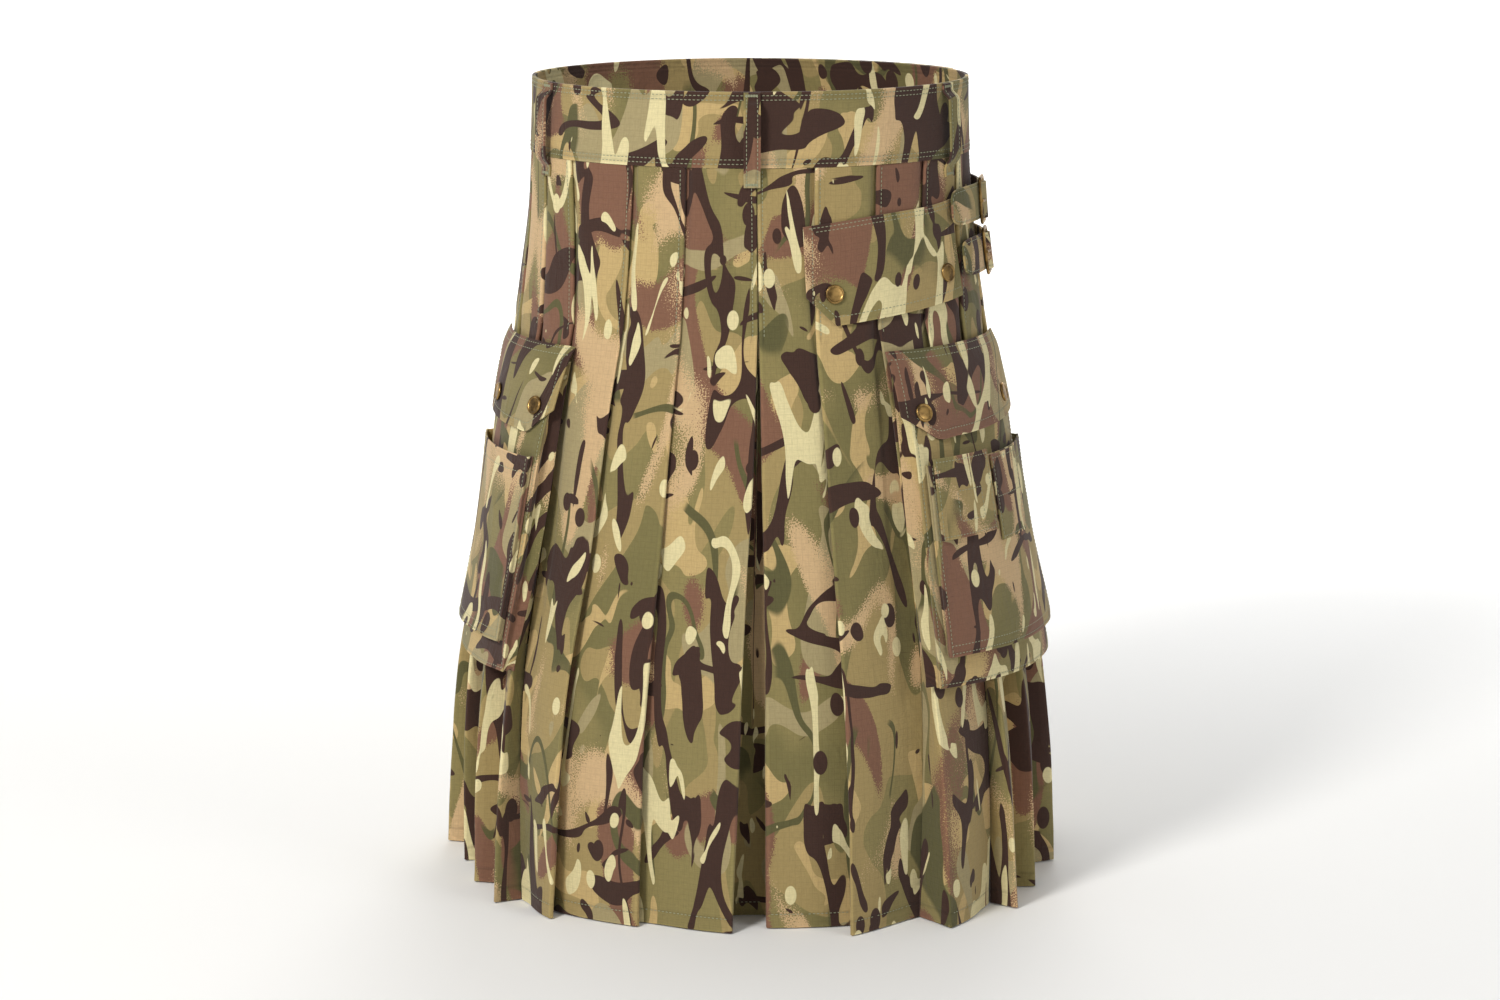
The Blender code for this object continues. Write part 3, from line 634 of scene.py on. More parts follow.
def refine_rows(grid, parts, sharp=()):
    finer, starts = refine(grid.transpose(1, 0, 2), parts, sharp)
    return finer.transpose(1, 0, 2), starts


def lengths_along(grid):
    steps = np.linalg.norm(np.diff(grid, axis=1), axis=2)
    return np.concatenate([np.zeros((grid.shape[0], 1)), np.cumsum(steps, axis=1)], axis=1)


def lengths_down(grid):
    return lengths_along(grid.transpose(1, 0, 2)).T


def edge_distance(grid, left=True, right=True, top=True, bottom=True):
    along = lengths_along(grid)
    down = lengths_down(grid)
    distance = np.full(grid.shape[:2], FAR)
    if left:
        distance = np.minimum(distance, along)
    if right:
        distance = np.minimum(distance, along[:, -1:] - along)
    if top:
        distance = np.minimum(distance, down)
    if bottom:
        distance = np.minimum(distance, down[-1:] - down)
    return distance


def add_mesh(name, points, faces, smooth_below=70.0):
    mesh = bpy.data.meshes.new(name)
    mesh.from_pydata([tuple(point) for point in points], [], faces)
    mesh.update()
    mesh.shade_smooth()
    mesh.set_sharp_from_angle(angle=math.radians(smooth_below))
    thing = bpy.data.objects.new(name, mesh)
    bpy.context.scene.collection.objects.link(thing)
    return thing


def join(thing, material, slot, *nodes):
    # Makes a mesh a piece of the one body, in place of the nodes it stands for
    thing.data.materials.append(material)
    if nodes:
        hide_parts(*nodes)
    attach(thing, "root")


def cloth_shell(name, grid, cloth_u, cloth_v, thickness, nodes, edge, seam):
    # Both faces and the raw edge of a piece of cloth whose middle is the grid
    rows, columns = grid.shape[:2]
    outward = normals_of(grid)
    half = thickness * MM / 2.0
    points = np.concatenate([(grid + outward * half).reshape(-1, 3), (grid - outward * half).reshape(-1, 3)])
    size = rows * columns
    faces = []
    for r in range(rows - 1):
        for c in range(columns - 1):
            i = r * columns + c
            faces.append((i, i + columns, i + columns + 1, i + 1))
            faces.append((size + i, size + i + 1, size + i + columns + 1, size + i + columns))
    last = (rows - 1) * columns
    for c in range(columns - 1):
        faces.append((c, c + 1, size + c + 1, size + c))
        faces.append((last + c + 1, last + c, size + last + c, size + last + c + 1))
    for r in range(rows - 1):
        i = r * columns
        j = i + columns - 1
        faces.append((i + columns, i, size + i, size + i + columns))
        faces.append((j, j + columns, size + j + columns, size + j))
    thing = add_mesh(name, points, faces)
    mesh = thing.data
    flat_u = np.tile(np.asarray(cloth_u).reshape(-1), 2)
    flat_v = np.tile(np.asarray(cloth_v).reshape(-1), 2)
    corner = np.zeros(len(mesh.loops), np.int32)
    mesh.loops.foreach_get("vertex_index", corner)
    layer = mesh.uv_layers.new(name="cloth")
    flat = np.stack([flat_u[corner], -flat_v[corner]], axis=1).astype(np.float32)
    layer.data.foreach_set("uv", flat.reshape(-1))
    for label, values in (("edge", edge), ("seam", seam)):
        made = mesh.attributes.new(label, "FLOAT", "POINT")
        made.data.foreach_set("value", np.tile(values.reshape(-1), 2).astype(np.float32))
    join(thing, camouflage, "camo_cloth", *nodes)
    return thing


def declare(grid):
    # Measures the length down the piece, which is not kept
    length = float(lengths_down(grid)[-1].max())


# Sewing

def beside(grid, column, distance, first=0, last=None):
    # Points at a distance from a column, to its left if the distance is negative
    outward = normals_of(grid)
    along = lengths_along(grid)
    points = []
    normals = []
    for r in range(first, grid.shape[0] if last is None else last):
        place = along[r, column] + distance * MM
        c = int(np.clip(np.searchsorted(along[r], place) - 1, 0, grid.shape[1] - 2))
        share = (place - along[r, c]) / max(along[r, c + 1] - along[r, c], 1e-9)
        points.append(grid[r, c] * (1 - share) + grid[r, c + 1] * share)
        normals.append(outward[r, c] * (1 - share) + outward[r, c + 1] * share)
    return points, normals


def above(grid, row, distance, first=0, last=None):
    points, normals = beside(grid.transpose(1, 0, 2), row, distance, first, last)
    return points, [-normal for normal in normals]


def sew(group, line, lift, pitch=STITCH_PITCH):
    # Runs of thread along a line of points, each a small rounded ridge
    points, normals = line
    points = [Vector(point) for point in points]
    steps = [(b - a).length for a, b in zip(points, points[1:])]
    total = sum(steps)
    made = threads.setdefault(group, ([], []))
    place = [0.0]
    for step in steps:
        place.append(place[-1] + step)

    def at(distance):
        k = int(np.clip(np.searchsorted(place, distance) - 1, 0, len(steps) - 1))
        share = (distance - place[k]) / max(steps[k], 1e-9)
        return points[k].lerp(points[k + 1], share), Vector(normals[k]).lerp(Vector(normals[k + 1]), share)

    start = pitch * MM * 0.5
    while start + STITCH_LENGTH * MM < total:
        ends = [at(start + STITCH_LENGTH * MM * share) for share in (0.0, 0.25, 0.75, 1.0)]
        run = (ends[3][0] - ends[0][0]).normalized()
        normal = ends[1][1].normalized()
        side = run.cross(normal).normalized() * STITCH_WIDTH * MM / 2.0
        low = normal * lift * MM
        top = normal * (lift + STITCH_RISE) * MM
        base = len(made[0])
        made[0].append(ends[0][0] + low)
        for middle, _ in ends[1:3]:
            made[0].extend((middle + low - side, middle + top, middle + low + side))
        made[0].append(ends[3][0] + low)
        made[1].extend(
            tuple(base + i for i in face)
            for face in ((0, 2, 1), (0, 3, 2), (1, 2, 5, 4), (2, 3, 6, 5), (4, 5, 7), (5, 6, 7)))
        start += pitch * MM


# Materials

def node_of(tree, kind, **settings):
    node = tree.nodes.new(kind)
    for key, value in settings.items():
        setattr(node, key, value)
    return node


class Graph:
    # Short names for the nodes of one material
    def __init__(self, name, roughness, metallic=0.0):
        self.material = bpy.data.materials.new(name)
        self.material.use_nodes = True
        self.tree = self.material.node_tree
        self.shader = self.tree.nodes["Principled BSDF"]
        self.shader.inputs["Roughness"].default_value = roughness
        self.shader.inputs["Metallic"].default_value = metallic

    def link(self, value, socket):
        if isinstance(value, (int, float, tuple)):
            socket.default_value = value
        else:
            self.tree.links.new(value, socket)

    def math(self, operation, a, b=0.0):
        node = node_of(self.tree, "ShaderNodeMath", operation=operation)
        self.link(a, node.inputs[0])
        self.link(b, node.inputs[1])
        return node.outputs[0]

    def add(self, a, b):
        return self.math("ADD", a, b)

    def less(self, a, b):
        return self.math("SUBTRACT", a, b)

    def times(self, a, b):
        return self.math("MULTIPLY", a, b)

    def step(self, value, low, high):
        node = node_of(self.tree, "ShaderNodeMapRange", interpolation_type="SMOOTHSTEP")
        self.link(value, node.inputs["Value"])
        node.inputs["From Min"].default_value = low
        node.inputs["From Max"].default_value = high
        return node.outputs["Result"]

    def cloth(self, scale=(1.0, 1.0), move=(0.0, 0.0), turn=0.0):
        uv = node_of(self.tree, "ShaderNodeUVMap", uv_map="cloth")
        mapping = node_of(self.tree, "ShaderNodeMapping")
        self.tree.links.new(uv.outputs["UV"], mapping.inputs["Vector"])
        mapping.inputs["Scale"].default_value = (scale[0], scale[1], 1.0)
        mapping.inputs["Location"].default_value = (move[0], move[1], 0.0)
        mapping.inputs["Rotation"].default_value = (0.0, 0.0, turn)
        return mapping.outputs["Vector"]

    def noise(self, vector, scale, detail=1.0, distortion=0.0, roughness=0.5):
        node = node_of(self.tree, "ShaderNodeTexNoise", noise_dimensions="2D")
        self.tree.links.new(vector, node.inputs["Vector"])
        node.inputs["Scale"].default_value = scale
        node.inputs["Detail"].default_value = detail
        node.inputs["Distortion"].default_value = distortion
        node.inputs["Roughness"].default_value = roughness
        return node.outputs["Fac"]

    def mix(self, share, a, b):
        node = node_of(self.tree, "ShaderNodeMix", data_type="RGBA")
        self.link(share, node.inputs["Factor"])
        self.link(a, node.inputs[6])
        self.link(b, node.inputs[7])
        return node.outputs[2]

    def attribute(self, name):
        return node_of(self.tree, "ShaderNodeAttribute", attribute_name=name).outputs["Fac"]

    def bump(self, height_metres):
        node = node_of(self.tree, "ShaderNodeBump")
        node.inputs["Strength"].default_value = 1.0
        node.inputs["Distance"].default_value = 1.0
        self.link(height_metres, node.inputs["Height"])
        self.tree.links.new(node.outputs["Normal"], self.shader.inputs["Normal"])


def shade(red, green, blue):
    # Linear colour from the values that a picture shows
    return tuple(((c / 255.0 + 0.055) / 1.055) ** 2.4 for c in (red, green, blue)) + (1.0,)


CAMO = {
    "khaki": shade(156, 136, 88),
    "moss": shade(134, 122, 76),
    "tan": shade(186, 160, 108),
    "olive": shade(114, 106, 64),
    "deep_olive": shade(88, 84, 50),
    "brown": shade(122, 86, 66),
    "dark": shade(60, 38, 29),
    "cream": shade(214, 202, 154),
    "pink": shade(196, 166, 124),
    "grey": shade(158, 144, 104),
}


def make_camouflage():
    g = Graph("camouflage_ripstop", 0.88)
    g.shader.inputs["Specular IOR Level"].default_value = 0.25
    g.shader.inputs["Sheen Weight"].default_value = 0.12
    g.shader.inputs["Sheen Roughness"].default_value = 0.6

    # Ground of olive with paler clouds, then the printed shapes from the largest to the smallest
    ground = g.noise(g.cloth((1.0, 0.6)), 9.0, 2.0, 0.6)
    colour = g.mix(g.step(ground, 0.36, 0.62), CAMO["olive"], CAMO["moss"])
    grain = g.noise(g.cloth(), 900.0, 1.0)

    def patches(
            colour, paint, move, scale, low, soft=0.005, stretch=(1.0, 0.5), turn=0.0, wobble=0.7, speckle=0.0):
        field = g.noise(g.cloth(stretch, move, turn), scale, 1.0, wobble, 0.4)
        if speckle:
            field = g.add(field, g.times(g.less(grain, 0.5), speckle))
        return g.mix(g.step(field, low, low + soft), colour, paint)

    colour = patches(colour, CAMO["khaki"], (1.7, 4.1), 17.0, 0.525)
    colour = patches(colour, CAMO["tan"], (5.2, 6.4), 24.0, 0.63, stretch=(1.0, 0.7), turn=0.6)
    colour = patches(colour, CAMO["brown"], (6.3, 2.2), 15.0, 0.585, 0.012, speckle=0.10)
    colour = patches(colour, CAMO["grey"], (9.1, 7.7), 18.0, 0.645)
    colour = patches(colour, CAMO["pink"], (3.9, 8.8), 18.0, 0.645, 0.03, speckle=0.24)
    # Thin twigs follow the middle line of another field, in places
    field = g.noise(g.cloth((1.0, 0.45), (12.4, 1.9), 0.25), 13.0, 1.0, 0.8, 0.4)
    line = g.less(0.5, g.math("ABSOLUTE", g.less(field, 0.5)))
    place = g.step(g.noise(g.cloth((1.0, 0.6), (4.4, 3.3)), 12.0), 0.48, 0.52)
    colour = g.mix(g.times(g.step(line, 0.478, 0.482), place), colour, CAMO["deep_olive"])
    colour = patches(
        colour, CAMO["dark"], (8.2, 5.5), 36.0, 0.632, 0.006, stretch=(1.0, 0.33), wobble=1.1, turn=0.12)
    colour = patches(colour, CAMO["dark"], (2.2, 11.5), 28.0, 0.675, stretch=(0.6, 1.0), wobble=0.9)
    colour = patches(
        colour, CAMO["cream"], (2.6, 9.3), 37.0, 0.675, stretch=(1.0, 0.34), wobble=1.1, turn=-0.15)
    for paint, move, reach in (("dark", (0.31, 0.17), 0.15), ("cream", (0.07, 0.41), 0.12)):
        spots = node_of(g.tree, "ShaderNodeTexVoronoi", voronoi_dimensions="2D")
        g.tree.links.new(g.cloth((1.0, 0.6), move), spots.inputs["Vector"])
        spots.inputs["Scale"].default_value = 27.0
        chance = g.noise(g.cloth((1.0, 0.8), (move[1] + 5.0, move[0])), 10.0, 1.0)
        size = g.times(g.step(chance, 0.52, 0.64), reach)
        spot = g.step(g.less(size, spots.outputs["Distance"]), 0.0, 0.012)
        colour = g.mix(spot, colour, CAMO[paint])

    # Threads: a fine plain weave and a heavier one every four millimetres
    separate = node_of(g.tree, "ShaderNodeSeparateXYZ")
    g.tree.links.new(g.cloth(), separate.inputs["Vector"])
    rib = 0.0
    weave = 0.0
    for axis in ("X", "Y"):
        place = separate.outputs[axis]
        wave = g.math("COSINE", g.times(place, math.tau / 0.0042))
        rib = g.math("MAXIMUM", rib, g.step(wave, 0.86, 0.99))
        fine = g.math("SINE", g.times(place, math.tau / 0.0009))
        weave = g.add(weave, fine)
    lean = g.noise(g.cloth((1.0, 0.12)), 1400.0, 1.0)
    slack = g.noise(g.cloth((0.12, 1.0)), 1400.0, 1.0)
    thread_tone = g.add(g.times(lean, 0.5), g.times(slack, 0.5))
    tone = g.add(0.80, g.times(thread_tone, 0.40))
    tone = g.less(tone, g.times(rib, 0.07))

    # Sewn lines are drawn in, and painted shade darkens the colour in their grooves; folded edges are rubbed paler
    seam = g.attribute("seam")
    edge = g.attribute("edge")
    groove = g.less(1.0, g.step(seam, 0.0003, 0.0016))
    gathered = g.less(1.0, g.step(seam, 0.0015, 0.0065))
    rubbed = g.less(1.0, g.step(edge, 0.0002, 0.0016))
    # Painted shade: the colour is darkened along the grooves of the sewn lines
    tone = g.less(tone, g.times(groove, 0.16))
    worn = g.noise(g.cloth((1.0, 1.0), (0.6, 0.2)), 130.0, 2.0)
    tone = g.add(tone, g.times(rubbed, g.times(worn, 0.30)))
    toned = node_of(g.tree, "ShaderNodeVectorMath", operation="SCALE")
    g.tree.links.new(colour, toned.inputs[0])
    g.tree.links.new(tone, toned.inputs["Scale"])
    g.tree.links.new(toned.outputs["Vector"], g.shader.inputs["Base Color"])

    # Relief in metres
    height = g.times(rib, 0.00005)
    height = g.add(height, g.times(weave, 0.000012))
    soft = g.noise(g.cloth((1.0, 0.7), (2.0, 1.0)), 60.0, 3.0, 0.6)
    height = g.add(height, g.times(soft, 0.0011))
    pucker = g.noise(g.cloth((1.0, 1.0), (5.0, 2.0)), 240.0, 1.0)
    height = g.add(height, g.times(g.times(pucker, gathered), 0.00045))
    height = g.less(height, g.times(groove, 0.00022))
    g.bump(height)
    return g.material


def make_thread():
    g = Graph("thread", 0.7)
    g.shader.inputs["Sheen Weight"].default_value = 0.2
    place = node_of(g.tree, "ShaderNodeTexCoord").outputs["Object"]
    twist = node_of(g.tree, "ShaderNodeTexNoise")
    g.tree.links.new(place, twist.inputs["Vector"])
    twist.inputs["Scale"].default_value = 1800.0
    colour = g.mix(twist.outputs["Fac"], shade(116, 120, 92), shade(160, 162, 132))
    g.tree.links.new(colour, g.shader.inputs["Base Color"])
    g.bump(g.times(twist.outputs["Fac"], 0.00006))
    return g.material


def make_brass():
    g = Graph("antique_brass_worn", 0.34, 1.0)
    place = node_of(g.tree, "ShaderNodeTexCoord").outputs["Object"]

    def spots(scale, detail):
        node = node_of(g.tree, "ShaderNodeTexNoise")
        g.tree.links.new(place, node.inputs["Vector"])
        node.inputs["Scale"].default_value = scale
        node.inputs["Detail"].default_value = detail
        return node.outputs["Fac"]

    stain = spots(160.0, 3.0)
    brushed = spots(900.0, 2.0)
    colour = g.mix(g.step(stain, 0.35, 0.68), shade(104, 82, 50), shade(176, 142, 86))
    g.tree.links.new(colour, g.shader.inputs["Base Color"])
    rough = g.add(0.24, g.times(brushed, 0.28))
    g.tree.links.new(rough, g.shader.inputs["Roughness"])
    g.bump(g.times(brushed, 0.00004))
    return g.material


camouflage = make_camouflage()
thread = make_thread()
brass = make_brass()


# Pleated panel

def pleat_drops():
    drops = list(np.linspace(RING_DROPS[0], LENGTH - 16.0, 88))
    return drops + [LENGTH - 12.5, LENGTH - 10.0, LENGTH - 7.5, LENGTH - 4.0, LENGTH - 1.2, LENGTH]


def make_pleat_shells():
    left_x, left_y = ring_point(LENGTH, LEFT_SEAM)
    left = pleat_run(LEFT_PLEATS, LEFT_SEAM, left_x, left_y)
    right_rows = []
    for name, waist, release, tip_x, tip_y, inner_x, inner_y, bend_x, bend_y in RIGHT_PLEATS:
        right_rows.append((name, -waist, -release, -tip_x, tip_y, -inner_x, inner_y, -bend_x, bend_y))
    right = pleat_run(right_rows, -RIGHT_SEAM, left_x, left_y)
    right = [[mirrored(column) for column in reversed(run)] for run in reversed(right)]
    left_side = len(LEFT_PLEATS) - 3
    right_side = len(RIGHT_PLEATS) - 3
    panels = (
        ("pleats_left", left[:left_side], 0.0, 0.31),
        ("pleats_back", left[left_side:] + right[:-right_side], 1.7, 0.05),
        ("pleats_right", right[-right_side:], 3.9, 0.52),
    )
    for name, runs, u_start, v_start in panels:
        make_pleat_shell(name, runs, u_start, v_start)


def kind_of(column):
    if "tip" in column:
        return "inner" if column["at_inner"] else "tip"
    return "face"


def make_pleat_shell(name, runs, u_start, v_start):
    columns = [column for run in runs for column in run]
    kinds = [kind_of(column) for column in columns]
    drops = pleat_drops()
    grid = np.array([[column_point(column, drop) for column in columns] for drop in drops])
    toward = (0.0, 0.3, 0.55, 0.75, 0.88, 0.95)
    away = (0.0, 0.05, 0.12, 0.25, 0.45, 0.7)
    parts = []
    for a, b in zip(kinds, kinds[1:]):
        if a == "face" and b == "tip":
            parts.append(toward)
        elif a == "tip" and b == "face":
            parts.append(away)
        elif a == b == "tip" or a == b == "inner":
            parts.append(3)
        elif "inner" in (a, b):
            parts.append(3)
        else:
            parts.append(5)
    sharp = [i for i, kind in enumerate(kinds) if kind != "face"]
    finer, starts = refine(grid, parts, sharp)
    # The two layers of a fold meet in a rounded edge
    for i in range(len(kinds) - 1):
        if kinds[i] == kinds[i + 1] == "tip":
            beyond = grid[:, i] + grid[:, i + 1] - grid[:, i - 1] - grid[:, i + 2]
            beyond /= np.maximum(np.linalg.norm(beyond, axis=1, keepdims=True), 1e-9)
            for c in (starts[i] + 1, starts[i] + 2):
                finer[:, c] += beyond * 0.45 * MM
    along = lengths_along(finer)
    tips = [starts[i] for i, kind in enumerate(kinds) if kind == "tip"]
    edge = np.full(finer.shape[:2], FAR)
    for c in tips:
        edge = np.minimum(edge, np.abs(along - along[:, c:c + 1]))
    seam = np.abs(edge - EDGE_STITCH * MM)
    drop_grid = np.array(drops)[:, None]
    released = np.clip((drop_grid - RELEASE_DROP - 8.0) * 0.4 * MM, 0.0, FAR)
    seam = seam + released
    hem = np.abs(drop_grid - (LENGTH - HEM_SEAM)) * MM + np.zeros_like(along)
    seam = np.minimum(seam, hem)
    edge = np.minimum(edge, (LENGTH - drop_grid) * MM)
    # The cloth's own width runs from the middle of each face, and the folds take up what is over
    middles = [starts[i] for i in range(1, len(kinds) - 1)
               if kinds[i] == "face" and "tip" in (kinds[i - 1], kinds[i + 1])]
    cloth_u = np.zeros_like(along)
    owner = np.array([int(np.argmin([abs(c - m) for m in middles])) for c in range(finer.shape[1])])
    for k, middle in enumerate(middles):
        mine = owner == k
        cloth_u[:, mine] = (along - along[:, middle:middle + 1])[:, mine] + along[-1, middle]
    moved = crumple(finer)
    cloth_v = np.array(drops)[:, None] * MM + np.zeros_like(cloth_u)
    thing = cloth_shell(
        name + "_cloth", moved, cloth_u + u_start, cloth_v + v_start, CLOTH_SHOWN, [name], edge, seam)
    declare(moved)
    lift = CLOTH_SHOWN / 2.0
    end = next(i for i, drop in enumerate(drops) if drop > RELEASE_DROP + 6.0)
    for i in range(1, len(kinds) - 1):
        if kinds[i] == "tip" and kinds[i - 1] == "face":
            sew("pleats", beside(moved, starts[i], -EDGE_STITCH, 0, end), lift)
        elif kinds[i] == "tip" and kinds[i + 1] == "face":
            sew("pleats", beside(moved, starts[i], EDGE_STITCH, 0, end), lift)
    hem_row = len(drops) - 1
    for i in range(len(kinds) - 1):
        pair = (kinds[i], kinds[i + 1])
        if pair in (("face", "tip"), ("tip", "face"), ("face", "face")):
            sew("hem", above(moved, hem_row, -HEM_SEAM, starts[i], starts[i + 1] + 1), lift)


# Waistband and aprons

def make_band_shell():
    drops = [0.0, 1.0, 2.2, 3.2, 5.0, 6.4, 9.0, 16.0, 27.5, 40.0, 46.0, 48.6, 50.0, 51.8, 53.6, BAND_HEIGHT]
    angles = spread(OUTER_EDGE, INNER_EDGE, 2.0)
    grid = np.array([
        [space_point(drop, angle, BAND_PROUD - BAND_THICKNESS / 2.0 + lap_out(angle)) for angle in angles]
        for drop in drops])
    moved = crumple(grid, 0.7)
    along = lengths_along(moved)
    down = np.array(drops)[:, None] * MM + np.zeros_like(along)
    edge = np.minimum(down, BAND_HEIGHT * MM - down)
    seam = np.minimum(np.abs(edge - 0.0030), np.abs(edge - WIDE_SEAM * MM))
    # The turned edges are a little thinner than the middle
    thing = cloth_shell(
        "waistband_cloth", moved, along + 0.4, down + 1.1, BAND_THICKNESS - 0.5, ["waistband"], edge, seam)
    declare(moved)
    last = len(drops) - 1
    lift = (BAND_THICKNESS - 0.5) / 2.0
    for distance in (2.8, 6.0):
        for side in (1.0, -1.0):
            sew("waistband", above(moved, 0, distance), lift * side)
            sew("waistband", above(moved, last, -distance), lift * side)


def make_apron_shells():
    seam_turn = degrees_for(LENGTH / 2.0, LEFT_SEAM, SEAM)
    drops = pleat_drops()
    outer_angles = spread(OUTER_EDGE, LEFT_SEAM - seam_turn, 2.5)
    under_angles = spread(RIGHT_SEAM + seam_turn, INNER_EDGE, 2.5)
    outer = []
    under = []
    for drop in drops:
        flare = APRON_FLARE * max(drop - RELEASE_DROP, 0.0) / (LENGTH - RELEASE_DROP)
        row = []
        for angle in outer_angles:
            past_front = max(0.0, (angle + 180.0) / (OUTER_EDGE + 180.0))
            out = lap_out(angle) * (1.0 + flare * past_front) - CLOTH / 2.0
            row.append(space_point(drop, angle, out))
        outer.append(row)
        under.append([space_point(drop, angle, -CLOTH / 2.0) for angle in under_angles])
    for name, rows, start in (("outer_apron", outer, 5.3), ("under_apron", under, 6.9)):
        moved = crumple(np.array(rows), 1.2)
        along = lengths_along(moved)
        down = np.array(drops)[:, None] * MM + np.zeros_like(along)
        edge = edge_distance(moved, left=name == "outer_apron", right=name == "under_apron", top=False)
        seam = np.abs(edge - HEM_SEAM * MM)
        thing = cloth_shell(name + "_cloth", moved, along + start, down, CLOTH_SHOWN, [name], edge, seam)
        declare(moved)
        sew("hem", above(moved, len(drops) - 1, -HEM_SEAM), CLOTH_SHOWN / 2.0)
        free = 0 if name == "outer_apron" else len(rows[0]) - 1
        sew("hem", beside(moved, free, HEM_SEAM if free == 0 else -HEM_SEAM), CLOTH_SHOWN / 2.0)


# Belt loops, straps and hip flap

def make_loop_shell(name, angle, k):
    lap = lap_out(angle - 360.0) if angle > 100.0 else lap_out(angle)
    rows = []
    for drop, clear in LOOP_PROFILE:
        below = BAND_PROUD if drop < BAND_HEIGHT + 2.0 else 0.0
        half = degrees_for(drop, angle, LOOP_WIDTH / 2.0)
        out = lap + below + clear + LOOP_THICKNESS / 2.0
        rows.append([space_point(drop, angle + side * half, out) for side in (-1.0, -0.6, 0.0, 0.6, 1.0)])
    grid, _ = refine_rows(np.array(rows), [2, 5, 5, 8, 5, 5, 3])
    grid = crumple(grid, 0.5)
    edge = edge_distance(grid, top=False, bottom=False)
    thing = cloth_shell(
        name + "_cloth", grid, lengths_along(grid) + 0.37 * k, lengths_down(grid) + 0.9 + 0.2 * k,
        LOOP_THICKNESS, [name], edge, np.abs(edge - NARROW_SEAM * MM))
    declare(grid)
    last = grid.shape[1] - 1
    for column, distance in ((0, NARROW_SEAM), (last, -NARROW_SEAM)):
        sew("loops", beside(grid, column, distance), LOOP_THICKNESS / 2.0)
    # Bar tacks at both ends
    for distance in (1.6, 2.2, 2.8):
        for row, way in ((0, 1.0), (grid.shape[0] - 1, -1.0)):
            line = above(grid, row, distance * way)
            sew("loops", line, LOOP_THICKNESS / 2.0 + 0.1, STITCH_LENGTH * 0.8)


def make_hip_flap_shell():
    angles = [HIP_FLAP[0][0], HIP_FLAP[1][0]] + spread(HIP_FLAP[2][0], HIP_FLAP[-1][0], 4.0)
    rows = []
    for share in (0.0, 0.34, 0.67, 1.0):
        row = []
        for angle in angles:
            drop = mix(straight_value(HIP_FLAP, 1, angle), straight_value(HIP_FLAP, 2, angle), share)
            row.append(space_point(drop, angle, hip_flap_out(drop)))
        rows.append(row)
    grid, _ = refine(np.array(rows), [4] * (len(angles) - 1), (1, 2))
    grid, _ = refine_rows(grid, [10, 10, (0.0, 0.2, 0.4, 0.55, 0.68, 0.8, 0.9, 0.95)])
    grid = crumple(grid, 1.0)
    edge = edge_distance(grid, top=False)
    thing = cloth_shell(
        "hip_flap_cloth", grid, lengths_along(grid) + 2.9, lengths_down(grid) + 2.2, PIECE_SHOWN,
        ["hip_flap"], edge, np.abs(edge - FLAP_SEAM * MM))
    declare(grid)
    lift = PIECE_SHOWN / 2.0
    sew("hip_flap", beside(grid, 0, FLAP_SEAM), lift)
    sew("hip_flap", above(grid, grid.shape[0] - 1, -FLAP_SEAM, 3), lift)
    sew("hip_flap", above(grid, 0, 5.0, 3), lift)
    sew("hip_flap", above(grid, 0, 2.0, 1), lift)


def make_strap_shell(name, drop, tip_angle, k):
    climb = (BAR_RISE_END, BAR_RISE_START, BAR_RISE_START + 2.0)
    angles = [tip_angle, tip_angle + 0.8, tip_angle + 2.5, tip_angle + 6.0]
    angles += [BUCKLE_ANGLE - turn for turn in reversed(climb)]
    angles += [BUCKLE_ANGLE] + [BUCKLE_ANGLE + turn for turn in climb]
    angles += spread(BUCKLE_ANGLE + 10.0, STRAP_ROOT, 6.0)
    widths = [0.5, 0.78, 0.94] + [1.0] * (len(angles) - 3)
    rows = []
    for side in (-1.0, -0.86, -0.6, 0.0, 0.6, 0.86, 1.0):
        row = []
        for angle, width in zip(angles, widths):
            row.append(space_point(drop + side * width * STRAP_WIDTH / 2.0, angle, strap_out(angle)))
        rows.append(row)
    grid, _ = refine(np.array(rows), [4] * (len(angles) - 1))
    grid = crumple(grid, 0.5)
    edge = edge_distance(grid)
    thing = cloth_shell(
        "strap_" + name + "_cloth", grid, lengths_along(grid) + 3.3 + k, lengths_down(grid) + 0.6 + k,
        STRAP_THICKNESS, ["strap_" + name], edge, np.abs(edge - 0.0024))
    declare(grid)
    lift = STRAP_THICKNESS / 2.0
    sew("straps", above(grid, 0, 2.4), lift)
    sew("straps", above(grid, grid.shape[0] - 1, -2.4), lift)
    sew("straps", beside(grid, 0, 2.4), lift)
    for distance in (3.0, 12.0):
        sew("straps", beside(grid, grid.shape[1] - 1, -distance), lift)


# Cargo pockets

